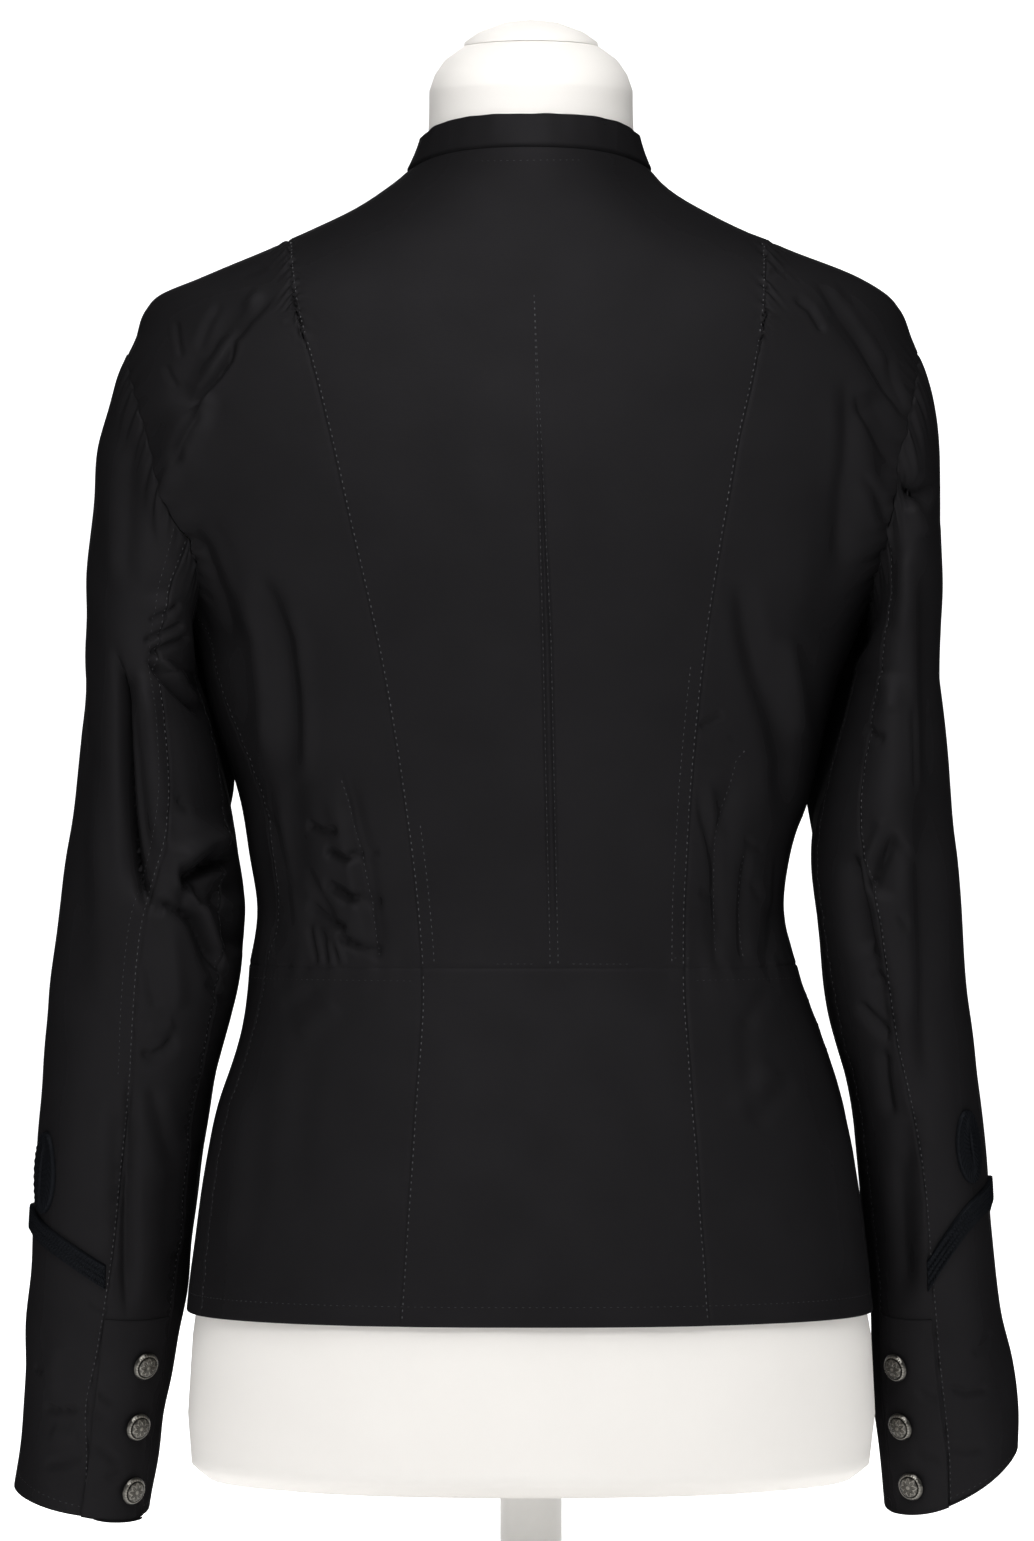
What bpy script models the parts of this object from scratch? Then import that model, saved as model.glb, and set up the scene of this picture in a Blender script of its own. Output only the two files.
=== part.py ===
"""Women's fitted blazer with a stand collar and a peplum, worn by a limbless dress form.

Metres, +Z up. The jacket's front faces -Y and the wearer's left is +X. The origin is the
centre of the underside of the form's base. One body surface carries every body panel, the
collar and the form, and one surface for each arm carries its sleeve, vent, braid and buttons.
Angles round the body start at the centre back and rise towards the wearer's left. Angles
round a sleeve start at its outer side, and 90 degrees is its back.
"""

import math

import bpy
import numpy as np
from mathutils import Vector

# Cloth, seams and clearances
CLOTH = 0.0015
SEAM_GAP = 0.0003
NARROW_GAP = 0.00021
LAY_GAP = 0.0003
COLLAR_STOP = 0.007

# Heights above the floor
CUFF = 0.066
HEM = 0.173
WAIST = 0.352
UNDERARM = 0.535
SHOULDER_TIP = 0.668
PRINCESS_TOP = 0.7265
NECK_SIDE = 0.7618
NECK_BACK_RISE = 0.0072
NECK_BACK_DEPTH = 0.068
NECK_FRONT_DROP = 0.0528
NECK_FRONT_DEPTH = 0.0742
NECK_FRONT_CURVE = 3.0
COLLAR_RISE = 0.018
SLEEVE_TOP = 0.500

# Front closure: how far each front runs past the centre front, and how the upper one is raised
OVERLAP = 0.014
UNDERLAP = 0.012
LAP_LIFT = CLOTH + 0.0011
LAP_EASE = 0.012
LAP_COLUMN = 0.0135
FRONT_LOW = 0.530
FRONT_HIGH = 0.672

# Round the body: height, reach to the left and to the right, depth to the back and to the
# front, squareness of the plan (2 is an ellipse), and the form's clearance inside the cloth
BODY_COLUMNS = "height left right back front squareness clearance"
BODY_ROWS = (
    (0.173, 0.1780, 0.1770, 0.1210, 0.1170, 2.30, 0.0024),
    (0.225, 0.1720, 0.1710, 0.1155, 0.1150, 2.30, 0.0028),
    (0.280, 0.1620, 0.1610, 0.1050, 0.1110, 2.30, 0.0034),
    (0.317, 0.1500, 0.1500, 0.0955, 0.1075, 2.30, 0.0038),
    (0.352, 0.1455, 0.1375, 0.0880, 0.1050, 2.25, 0.0042),
    (0.380, 0.1420, 0.1310, 0.0860, 0.1060, 2.25, 0.0045),
    (0.411, 0.1455, 0.1350, 0.0885, 0.1110, 2.25, 0.0050),
    (0.442, 0.1520, 0.1450, 0.0930, 0.1190, 2.25, 0.0056),
    (0.488, 0.1670, 0.1560, 0.1005, 0.1290, 2.30, 0.0075),
    (0.535, 0.1780, 0.1740, 0.1060, 0.1300, 2.40, 0.0090),
    (0.580, 0.2050, 0.2000, 0.1080, 0.1220, 2.60, 0.0090),
    (0.625, 0.2150, 0.2100, 0.1060, 0.1070, 2.60, 0.0085),
    (0.655, 0.2120, 0.2040, 0.1010, 0.0945, 2.50, 0.0070),
    (0.675, 0.2050, 0.1965, 0.0965, 0.0865, 2.40, 0.0050),
    (0.690, 0.1994, 0.1906, 0.0925, 0.0805, 2.30, 0.0038),
    (0.697, 0.1930, 0.1850, 0.0905, 0.0780, 2.20, 0.0026),
    (0.706, 0.1735, 0.1710, 0.0880, 0.0750, 2.10, 0.0018),
    (0.7214, 0.1370, 0.1340, 0.0830, 0.0695, 2.05, 0.0016),
    (0.737, 0.1020, 0.0980, 0.0780, 0.0645, 2.00, 0.0016),
    (0.752, 0.0772, 0.0720, 0.0735, 0.0600, 2.00, 0.0016),
    (0.7618, 0.0648, 0.0627, 0.0705, 0.0580, 2.00, 0.0016),
    (0.769, 0.0600, 0.0590, 0.0680, 0.0565, 2.00, 0.0014),
    (0.7794, 0.0562, 0.0562, 0.0625, 0.0555, 2.00, 0.0012),
    (0.787, 0.0556, 0.0556, 0.0585, 0.0550, 2.00, 0.0011),
    (0.804, 0.0552, 0.0552, 0.0570, 0.0545, 2.00, 0.0010),
)

# Back shoulder seams, which run on down the peplum: height, and distance from the middle
PRINCESS_COLUMNS = "height left right"
PRINCESS_ROWS = (
    (0.173, 0.0666, 0.0902),
    (0.271, 0.0602, 0.0833),
    (0.347, 0.0560, 0.0785),
    (0.389, 0.0592, 0.0792),
    (0.434, 0.0647, 0.0814),
    (0.483, 0.0721, 0.0853),
    (0.518, 0.0786, 0.0892),
    (0.577, 0.0920, 0.0982),
    (0.620, 0.1017, 0.1057),
    (0.657, 0.1110, 0.1140),
    (0.6815, 0.1180, 0.1180),
    (0.710, 0.1230, 0.1200),
    (0.7265, 0.1248, 0.1202),
)

# Side seams: height, and how far behind the centre line each lies
SIDE_SEAM_COLUMNS = "height left right"
SIDE_SEAM_ROWS = (
    (0.173, 0.045, -0.005),
    (0.352, 0.036, -0.005),
    (0.450, 0.042, -0.005),
    (0.490, 0.042, -0.005),
    (0.515, 0.036, -0.002),
    (0.535, 0.020, 0.000),
)

# Armholes seen from the side: back lean of the lowest point, reach to the back and the front
ARMHOLES = {
    "left": {"lean": 0.020, "back": 0.058, "front": 0.060},
    "right": {"lean": 0.000, "back": 0.062, "front": 0.056},
}

# Sleeves below the underarm: height, outer and inner edge, middle of the depth, half depth, the
# angles of the back seam and of the under seam, and how far the cloth at the inner front hangs
# in towards the body
SLEEVE_COLUMNS = "height outer inner middle half_depth back_seam under_seam fullness"
SLEEVE_ROWS = {
    "left": (
        (0.066, 0.2715, 0.2003, -0.058, 0.042, 97, 150, 0.0000),
        (0.100, 0.2674, 0.1947, -0.052, 0.042, 92, 150, 0.0000),
        (0.131, 0.2657, 0.1898, -0.046, 0.043, 87, 149, 0.0000),
        (0.162, 0.2640, 0.1838, -0.039, 0.044, 91, 148, 0.0000),
        (0.210, 0.2600, 0.1765, -0.029, 0.047, 94, 146, 0.0000),
        (0.250, 0.2570, 0.1715, -0.019, 0.050, 95, 143, 0.0000),
        (0.302, 0.2528, 0.1625, -0.007, 0.053, 94, 142, 0.0000),
        (0.333, 0.2497, 0.1545, -0.001, 0.055, 90, 142, 0.0000),
        (0.380, 0.2445, 0.1480, 0.004, 0.058, 90, 148, 0.0000),
        (0.411, 0.2414, 0.1523, 0.004, 0.060, 103, 155, 0.0040),
        (0.442, 0.2378, 0.1575, 0.003, 0.062, 110, 162, 0.0170),
        (0.475, 0.2335, 0.1660, 0.002, 0.063, 113, 168, 0.0190),
        (0.500, 0.2305, 0.1740, 0.001, 0.063, 115, 170, 0.0166),
    ),
    "right": (
        (0.066, 0.2560, 0.1862, -0.058, 0.042, 96, 150, 0.0000),
        (0.100, 0.2562, 0.1830, -0.052, 0.042, 95, 150, 0.0000),
        (0.131, 0.2527, 0.1792, -0.046, 0.043, 94, 150, 0.0000),
        (0.162, 0.2462, 0.1785, -0.039, 0.045, 94, 150, 0.0000),
        (0.210, 0.2410, 0.1745, -0.029, 0.048, 94, 150, 0.0000),
        (0.250, 0.2375, 0.1705, -0.019, 0.051, 94, 150, 0.0000),
        (0.302, 0.2305, 0.1615, -0.007, 0.056, 97, 150, 0.0000),
        (0.333, 0.2258, 0.1535, -0.001, 0.059, 99, 150, 0.0000),
        (0.380, 0.2227, 0.1476, 0.004, 0.062, 104, 155, 0.0000),
        (0.411, 0.2196, 0.1450, 0.004, 0.063, 112, 160, 0.0080),
        (0.442, 0.2170, 0.1515, 0.003, 0.063, 118, 165, 0.0210),
        (0.475, 0.2145, 0.1610, 0.002, 0.063, 120, 170, 0.0205),
        (0.500, 0.2120, 0.1680, 0.001, 0.062, 120, 172, 0.0175),
    ),
}
SLEEVE_SQUARENESS = 2.15
FULLNESS_TURN = -124
FULLNESS_REACH = 22
CAP_FULLNESS = 0.006
HEM_LIFT = {"left": 0.007, "right": 0.031}
HEM_LIFT_START = 1.7
SLEEVE_BACK_SEAM_TOP = 120
SLEEVE_UNDER_SEAM_TOP = 180
UNDERARM_GAP = 0.0008
CAP_LEAVE = 0.030
CAP_ARRIVE = 0.45
CAP_OUT = 0.353
CAP_OUT_TOP = 0.294
CAP_MITRE = 0.12
CAP_PLAIN = 0.30
MITRE_LIMIT = 0.30
MITRE_RUN = 0.40

# Largest folds, seen from behind: name, path as points (x, z), rise above the cloth (a trough
# is negative), and reach on its left-hand and on its right-hand side along the path
BACK_FOLDS = (
    ("shoulder_left", ((0.143, 0.692), (0.168, 0.660), (0.180, 0.632)), -0.0040, 0.008, 0.006),
    ("shoulder_left_upper", ((0.150, 0.678), (0.160, 0.664), (0.176, 0.640)), 0.0025, 0.007, 0.007),
    ("shoulder_right", ((-0.150, 0.696), (-0.168, 0.672), (-0.190, 0.638)), -0.0036, 0.006, 0.008),
    ("blade_right", ((-0.168, 0.645), (-0.180, 0.622), (-0.190, 0.600)), -0.0040, 0.010, 0.008),
    ("armhole_left", ((0.172, 0.640), (0.186, 0.600), (0.190, 0.570)), 0.0040, 0.010, 0.014),
    ("under_blade_left", ((0.178, 0.585), (0.165, 0.550), (0.158, 0.505)), -0.0045, 0.014, 0.012),
    ("under_blade_right", ((-0.160, 0.610), (-0.158, 0.560), (-0.150, 0.510)), -0.0040, 0.014, 0.012),
    ("tuck_left_1", ((0.094, 0.452), (0.084, 0.410), (0.078, 0.366), (0.076, 0.352)), -0.0022, 0.006, 0.004),
    ("tuck_left_2", ((0.112, 0.385), (0.106, 0.352)), -0.0018, 0.005, 0.004),
    ("tuck_left_3", ((0.136, 0.452), (0.128, 0.352)), -0.0018, 0.006, 0.004),
    ("tuck_right_1", ((-0.104, 0.458), (-0.096, 0.420), (-0.094, 0.352)), -0.0022, 0.005, 0.006),
    ("tuck_right_2", ((-0.110, 0.410), (-0.108, 0.352)), -0.0018, 0.004, 0.005),
    ("tuck_right_3", ((-0.124, 0.385), (-0.120, 0.352)), -0.0018, 0.004, 0.006),
)
SLEEVE_FOLDS = {
    "left": (
        ("long_crease", ((0.209, 0.515), (0.205, 0.456), (0.200, 0.405), (0.194, 0.378)),
         -0.0085, 0.012, 0.007),
        ("outer_trough", ((0.236, 0.490), (0.234, 0.420), (0.228, 0.330)), -0.0030, 0.009, 0.009),
        ("elbow_bulge", ((0.162, 0.430), (0.172, 0.412), (0.188, 0.404)), 0.0050, 0.014, 0.012),
        ("elbow_shadow", ((0.156, 0.412), (0.168, 0.400), (0.180, 0.394)), -0.0080, 0.008, 0.008),
        ("elbow_crease", ((0.180, 0.396), (0.168, 0.372), (0.158, 0.346)), -0.0050, 0.006, 0.009),
        ("under_arm", ((0.190, 0.545), (0.182, 0.525), (0.172, 0.495)), 0.0045, 0.010, 0.008),
        ("vent_fold", ((0.210, 0.290), (0.210, 0.220), (0.208, 0.168)), -0.0035, 0.009, 0.007),
    ),
    "right": (
        ("notch", ((-0.188, 0.598), (-0.198, 0.596), (-0.207, 0.592)), -0.0060, 0.007, 0.006),
        ("outer_trough", ((-0.201, 0.455), (-0.205, 0.380), (-0.206, 0.290)), -0.0035, 0.010, 0.010),
        ("elbow_crease", ((-0.189, 0.418), (-0.180, 0.404), (-0.172, 0.388)), -0.0050, 0.006, 0.009),
        ("inner_edge", ((-0.164, 0.398), (-0.168, 0.372), (-0.176, 0.345), (-0.182, 0.310)),
         -0.0045, 0.008, 0.006),
        ("upper_bulge", ((-0.180, 0.500), (-0.184, 0.455), (-0.182, 0.410)), 0.0040, 0.012, 0.012),
        ("vent_fold", ((-0.191, 0.290), (-0.193, 0.220), (-0.192, 0.168)), -0.0030, 0.008, 0.008),
    ),
}
FOLD_FADE = 0.22
FOLD_TURN = 3.0
SLEEVE_FOLD_START = 0.3

# Cuff trimmings: angle and height of the braid's point, height of the loop's top
BRAID = {
    "left": {"angle": 18, "point": 0.2178, "drop": 0.0178, "bow": 0.0035},
    "right": {"angle": 27, "point": 0.2345, "drop": 0.0330, "bow": 0.0110},
}
BRAID_WIDTH = 0.0120
BRAID_THICKNESS = 0.0014
BRAID_SPREAD = 0.058
BRAID_GAP = 0.0006
LOOP = {
    "left": {"angle": 32, "foot": 0.2262, "top": 0.2675},
    "right": {"angle": 48, "foot": 0.2465, "top": 0.2830},
}
LOOP_WIDTH = 0.0240
LOOP_SLIT = 0.0018
LOOP_END = 0.0085

# Cuff vents: angles of the stitched line and of the free edge, height of the top
VENT = {"left": (92, 146), "right": (96, 147)}
VENT_TOP = 0.1775
VENT_HEM_RISE = 0.003
VENT_THICKNESS = 0.0012
VENT_GAP = 0.0006

# Buttons: profile of a sewn metal button as radius and height, and where the buttons sit
BUTTON_PROFILE = ((0.0055, 0.0), (0.0075, 0.0013), (0.0068, 0.0028), (0.0040, 0.0041))
BUTTON_TOP = 0.0047
BUTTON_SIDES = 12
CUFF_BUTTONS = {
    "left": ((125, 0.1550), (126.5, 0.1205), (129.5, 0.0865)),
    "right": ((127.5, 0.1535), (128.5, 0.1205), (124, 0.0858)),
}
FRONT_BUTTON_COUNT = 6
FRONT_BUTTON_TOP = 0.680
FRONT_BUTTON_SPACING = 0.078

# Dress form and its stand
FORM_SHOULDER = 0.184
FORM_FOOT = 0.085
FORM_HIP_COLUMNS = "height left right back front squareness"
FORM_HIP_ROWS = (
    (0.0850, 0.150, 0.149, 0.096, 0.092, 2.3),
    (0.0872, 0.167, 0.166, 0.110, 0.106, 2.3),
    (0.0940, 0.1755, 0.1750, 0.118, 0.114, 2.3),
    (0.1200, 0.1775, 0.1780, 0.120, 0.116, 2.3),
    (0.1600, 0.1750, 0.1760, 0.118, 0.114, 2.3),
)
FORM_HEIGHTS = (0.200, 0.240, 0.280, 0.317, 0.352, 0.380, 0.411, 0.450, 0.490, 0.535, 0.580, 0.625,
                0.660, 0.682, 0.695, 0.704, 0.713, 0.723, 0.733, 0.745, 0.755, 0.7645, 0.775, 0.790, 0.804)
# Top of the neck and the cap on it, as height and radius
NECK_TOP_ROWS = ((0.812, 0.0500), (0.8195, 0.0450), (0.8262, 0.0360))
CAP_ROWS = ((0.8266, 0.0350), (0.8290, 0.0345), (0.8340, 0.0275), (0.8388, 0.0150))
CAP_TOP = 0.841
FORM_SIDES = 28
FORM_SHOULDER_TURN = 24
POLE_RADIUS = 0.016
POLE_SIDES = 16
BASE_RADIUS = 0.150
BASE_THICKNESS = 0.012
BASE_BEVEL = 0.003
BASE_SIDES = 36

# Grids: cells across each kind of panel, and rows between its heights
ROWS_WAIST_TO_UNDERARM = 7
ROWS_ARMHOLE = 12
ROWS_SHOULDER_TO_NECK = 6
ROWS_PEPLUM = 6
ROWS_CAP = 6
ROWS_SLEEVE = 13
CELLS_BACK_SIDE = 11
CELLS_NECK = 14
CELLS_FRONT = 8
CELLS_PEPLUM_BACK = 10
CELLS_PEPLUM_SIDE = 7
CELLS_UPPER_SLEEVE = 20
CELLS_UNDER_SLEEVE = 4
CELLS_VENT = 6
ROWS_VENT = 6
CELLS_BRAID = 18
LOOP_SIDES = 24
SHOULDER_CROWDING = 1.5
CROWDING_START = 0.660
CROWDING_RUN = 0.040
SEAM_SAMPLES = 600
NECKLINE_STEPS = 30

# Colour, roughness and metallic value of each material
FINISHES = {
    "black_cloth": ((0.012, 0.012, 0.013), 0.48, 0.0),
    "black_braid": ((0.008, 0.008, 0.009), 0.70, 0.0),
    "antique_metal": ((0.230, 0.215, 0.190), 0.38, 1.0),
    "cream_cover": ((0.780, 0.740, 0.670), 0.80, 0.0),
    "white_paint": ((0.800, 0.790, 0.770), 0.40, 0.0),
}


def columns(names, rows):
    """Turns a table's rows into one array for each named column."""
    data = np.array(rows, float)
    return {name: data[:, i] for i, name in enumerate(names.split())}


BODY = columns(BODY_COLUMNS, BODY_ROWS)
PRINCESS = columns(PRINCESS_COLUMNS, PRINCESS_ROWS)
SIDE_SEAM = columns(SIDE_SEAM_COLUMNS, SIDE_SEAM_ROWS)
SLEEVES = {side: columns(SLEEVE_COLUMNS, rows) for side, rows in SLEEVE_ROWS.items()}
SIGN = {"left": 1.0, "right": -1.0}


def read(table, name, height):
    """Reads one column of a table at any height, along a smooth curve through its rows."""
    xs = table["height"]
    ys = table[name]
    slope = np.gradient(ys, xs)
    x = np.clip(height, xs[0], xs[-1])
    i = np.clip(np.searchsorted(xs, x, side="right") - 1, 0, len(xs) - 2)
    width = xs[i + 1] - xs[i]
    u = (x - xs[i]) / width
    start = (1 + 2 * u) * (1 - u) ** 2 * ys[i] + u * (1 - u) ** 2 * width * slope[i]
    end = u * u * (3 - 2 * u) * ys[i + 1] - u * u * (1 - u) * width * slope[i + 1]
    return start + end


def ease(x):
    """Rises smoothly from 0 to 1 as x does."""
    x = np.clip(x, 0.0, 1.0)
    return x * x * (3 - 2 * x)


def unit(vectors):
    """Scales each vector to length 1."""
    return vectors / np.maximum(np.linalg.norm(vectors, axis=-1, keepdims=True), 1e-12)


def section(angle, height, left, right, back, front, squareness):
    """Points of a rounded plan outline with its own reach to each of four sides."""
    s = np.sin(angle)
    c = np.cos(angle)
    r = (np.abs(s) ** squareness + np.abs(c) ** squareness) ** (-1.0 / squareness)
    x = np.where(s >= 0, left, right) * s * r
    y = np.where(c >= 0, back, front) * c * r
    return np.stack([x, y, height + 0.0 * angle], axis=-1)


def body_base(angle, height):
    """The body surface without its folds."""
    return section(angle, height, *(read(BODY, name, height) for name in BODY_COLUMNS.split()[1:-1]))


def fold_rise(folds, x, z):
    """Adds up the folds at points (x, z) of the back view."""
    total = np.zeros(np.shape(x))
    for _, path, rise, near, far in folds:
        path = np.array(path)
        lengths = np.linalg.norm(np.diff(path, axis=0), axis=1)
        best = np.full(np.shape(x), 1e9)
        along = np.zeros(np.shape(x))
        side = np.zeros(np.shape(x))
        done = 0.0
        for start, end, length in zip(path[:-1], path[1:], lengths):
            run = (end - start) / length
            t = np.clip((x - start[0]) * run[0] + (z - start[1]) * run[1], 0, length)
            dx = x - start[0] - t * run[0]
            dz = z - start[1] - t * run[1]
            away = np.hypot(dx, dz)
            closer = away < best
            best = np.where(closer, away, best)
            along = np.where(closer, (done + t) / lengths.sum(), along)
            side = np.where(closer, run[0] * dz - run[1] * dx, side)
            done += length
        reach = np.where(side > 0, near, far)
        fade = ease(along / FOLD_FADE) * ease((1 - along) / FOLD_FADE)
        total += rise * np.exp(-((best / reach) ** 2)) * fade
    return total


def surface_normals(base, u, v, du=1e-3, dv=1e-4):
    """Outward normals of a surface given as a function of two parameters."""
    along_u = base(u + du, v) - base(u - du, v)
    along_v = base(u, v + dv) - base(u, v - dv)
    return unit(np.cross(along_v, along_u))


def lap_lift(points):
    """How far the upper front is raised where it crosses the lower one."""
    return LAP_LIFT * ease((points[..., 0] + UNDERLAP + LAP_EASE) / (LAP_EASE - 0.002))


def body_surface(angle, height, lapped=False):
    """Points and normals of the cloth's outer face round the body."""
    points = body_base(angle, height)
    normals = surface_normals(body_base, angle, height)
    facing = ease(FOLD_TURN * normals[..., 1])
    rise = facing * fold_rise(BACK_FOLDS, points[..., 0], points[..., 2])
    if lapped:
        rise = rise + lap_lift(points)
    return points + normals * rise[..., None], normals


def angle_at_x(distance, height, side, front=False):
    """Angle round the body at which the surface lies a distance from the middle."""
    reach = read(BODY, side, height)
    n = read(BODY, "squareness", height)
    k = np.clip(distance / reach, 0.0, 1.0)
    angle = np.arctan2(k, (1 - k ** n) ** (1 / n))
    return SIGN[side] * (math.pi - angle if front else angle)


def angle_at_y(y, height, side):
    """Angle round the body at which one side of the surface lies at a depth y."""
    depth = np.where(y >= 0, read(BODY, "back", height), read(BODY, "front", height))
    n = read(BODY, "squareness", height)
    q = np.clip(np.abs(y) / depth, 0.0, 1.0)
    return SIGN[side] * np.arctan2((1 - q ** n) ** (1 / n), np.sign(y) * q)


def armhole(side, turn):
    """Angle round the body and height of an armhole, for a turn from its top (0) to its back (90 degrees)."""
    shape = ARMHOLES[side]
    middle = (SHOULDER_TIP + UNDERARM) / 2
    height = middle + (SHOULDER_TIP - UNDERARM) / 2 * np.cos(turn)
    reach = np.where(np.sin(turn) >= 0, shape["back"], shape["front"])
    lean = shape["lean"] * ((1 - np.cos(turn)) / 2) ** 1.5
    return angle_at_y(lean + reach * np.sin(turn), height, side), height


def neckline(angle):
    """Height of the neckline round the body: it dips steeply only close to the centre front."""
    height = np.full(np.shape(angle), NECK_SIDE)
    for _ in range(NECKLINE_STEPS):
        depth = body_base(angle, height)[..., 1]
        rise_back = NECK_BACK_RISE * ease(depth / NECK_BACK_DEPTH)
        drop_front = NECK_FRONT_DROP * np.clip(-depth / NECK_FRONT_DEPTH, 0, 1) ** NECK_FRONT_CURVE
        height = (height + NECK_SIDE + rise_back - drop_front) / 2
    return height


def side_edge(side, front):
    """A side seam and half an armhole, as angles and heights from the waist to the shoulder tip."""
    heights = np.linspace(WAIST, UNDERARM, ROWS_WAIST_TO_UNDERARM + 1)
    angles = angle_at_y(read(SIDE_SEAM, side, heights), heights, side)
    half_turn = -math.pi if front else math.pi
    turns = np.linspace(half_turn, 0.0, ROWS_ARMHOLE + 1)[1:]
    arm_angles, arm_heights = armhole(side, turns)
    return np.concatenate([angles, arm_angles]), np.concatenate([heights, arm_heights])


def princess_edge(side, count):
    """A back shoulder seam as angles and heights from the waist up, with closer rows over the shoulder."""
    heights = np.linspace(WAIST, PRINCESS_TOP, SEAM_SAMPLES)
    angles = angle_at_x(read(PRINCESS, side, heights), heights, side)
    angles[-1] = SIGN[side] * math.pi / 2
    steps = np.linalg.norm(np.diff(body_base(angles, heights), axis=0), axis=1)
    steps = steps * (1 + SHOULDER_CROWDING * ease((heights[1:] - CROWDING_START) / CROWDING_RUN))
    length = np.concatenate([[0.0], np.cumsum(steps)])
    even = np.linspace(0.0, length[-1], count)
    return np.interp(even, length, angles), np.interp(even, length, heights)


def blend_edges(first, second, cells):
    """Grid of angles and heights between two edges that have the same number of rows."""
    u = np.linspace(0.0, 1.0, cells + 1)[None, :]
    return tuple(a[:, None] * (1 - u) + b[:, None] * u for a, b in zip(first, second))


def inset(grid, gap=SEAM_GAP / 2):
    """Draws the four edges of a grid of points inwards by half of a seam's gap."""
    grid = grid.copy()
    for axis in (0, 1):
        rows = np.moveaxis(grid, axis, 0)
        for edge, inner in ((0, 1), (-1, -2)):
            step = rows[inner] - rows[edge]
            run = unit(np.gradient(rows[edge], axis=0))
            step = step - run * (step * run).sum(-1, keepdims=True)
            rows[edge] = rows[edge] + gap * unit(step)
    return grid


def new_object(name, vertices, faces, finish):
    """Makes a mesh object whose faces point outwards, with its own material."""
    mesh = bpy.data.meshes.new(name)
    mesh.from_pydata([tuple(map(float, p)) for p in vertices], [], faces)
    mesh.validate()
    volume = 0.0
    for face in mesh.polygons:
        corners = [mesh.vertices[i].co for i in face.vertices]
        for second, third in zip(corners[1:-1], corners[2:]):
            volume += corners[0].dot(second.cross(third))
    if volume < 0:
        mesh.flip_normals()
    mesh.shade_smooth()
    mesh.set_sharp_from_angle(angle=math.radians(40))
    mesh.materials.append(make_material(name, finish))
    obj = bpy.data.objects.new(name, mesh)
    bpy.context.collection.objects.link(obj)
    return obj


def make_material(name, finish):
    """A plain material with the colour, roughness and metallic value of a finish."""
    colour, roughness, metallic = FINISHES[finish]
    material = bpy.data.materials.new(name)
    material.use_nodes = True
    shader = material.node_tree.nodes["Principled BSDF"]
    shader.inputs["Base Color"].default_value = (*colour, 1.0)
    shader.inputs["Roughness"].default_value = roughness
    shader.inputs["Metallic"].default_value = metallic
    return material


def wall(name, points, normals, finish="black_cloth", thickness=CLOTH, gap=SEAM_GAP / 2):
    """A closed wall of cloth from a grid of points on its outer face."""
    outer = inset(points, gap)
    inner = inset(points - normals * thickness, gap)
    rows, cells = points.shape[:2]
    half = rows * cells

    def at(i, j, layer):
        return layer * half + i * cells + j

    faces = []
    for i in range(rows - 1):
        for j in range(cells - 1):
            faces.append((at(i, j, 0), at(i, j + 1, 0), at(i + 1, j + 1, 0), at(i + 1, j, 0)))
            faces.append((at(i, j, 1), at(i + 1, j, 1), at(i + 1, j + 1, 1), at(i, j + 1, 1)))
    for i in range(rows - 1):
        faces.append((at(i, 0, 0), at(i + 1, 0, 0), at(i + 1, 0, 1), at(i, 0, 1)))
        last = cells - 1
        faces.append((at(i + 1, last, 0), at(i, last, 0), at(i, last, 1), at(i + 1, last, 1)))
    for j in range(cells - 1):
        faces.append((at(0, j + 1, 0), at(0, j, 0), at(0, j, 1), at(0, j + 1, 1)))
        faces.append((at(rows - 1, j, 0), at(rows - 1, j + 1, 0), at(rows - 1, j + 1, 1), at(rows - 1, j, 1)))
    vertices = np.concatenate([outer.reshape(-1, 3), inner.reshape(-1, 3)])
    return new_object(name, vertices, faces, finish)


def ring_wall(name, outer, inner, finish):
    """A closed wall between two pairs of loops: each array is (2 edges, points round, 3)."""
    count = outer.shape[1]
    loops = np.concatenate([outer, inner[::-1]])
    faces = []
    for layer in range(4):
        after = (layer + 1) % 4
        for j in range(count):
            k = (j + 1) % count
            faces.append((layer * count + j, layer * count + k, after * count + k, after * count + j))
    return new_object(name, loops.reshape(-1, 3), faces, finish)


def turned(name, rings, finish, bottom=None, top=None):
    """A closed stack of rings with the same number of points, with flat or pointed ends."""
    count = rings[0].shape[0]
    vertices = [tuple(p) for ring in rings for p in ring]
    faces = []
    for i in range(len(rings) - 1):
        for j in range(count):
            k = (j + 1) % count
            faces.append((i * count + j, i * count + k, (i + 1) * count + k, (i + 1) * count + j))
    for tip, ring_start, order in ((bottom, 0, -1), (top, (len(rings) - 1) * count, 1)):
        loop = [ring_start + j for j in range(count)][::order]
        if tip is None:
            faces.append(tuple(loop))
        else:
            vertices.append(tuple(tip))
            tip_index = len(vertices) - 1
            for j in range(count):
                faces.append((loop[j], loop[(j + 1) % count], tip_index))
    return new_object(name, vertices, faces, finish)


def circle(radius, height, sides):
    """Points of a level ring."""
    turn = np.arange(sides) / sides * 2 * math.pi
    return np.stack([radius * np.cos(turn), radius * np.sin(turn), np.full(sides, height)], axis=-1)


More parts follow.
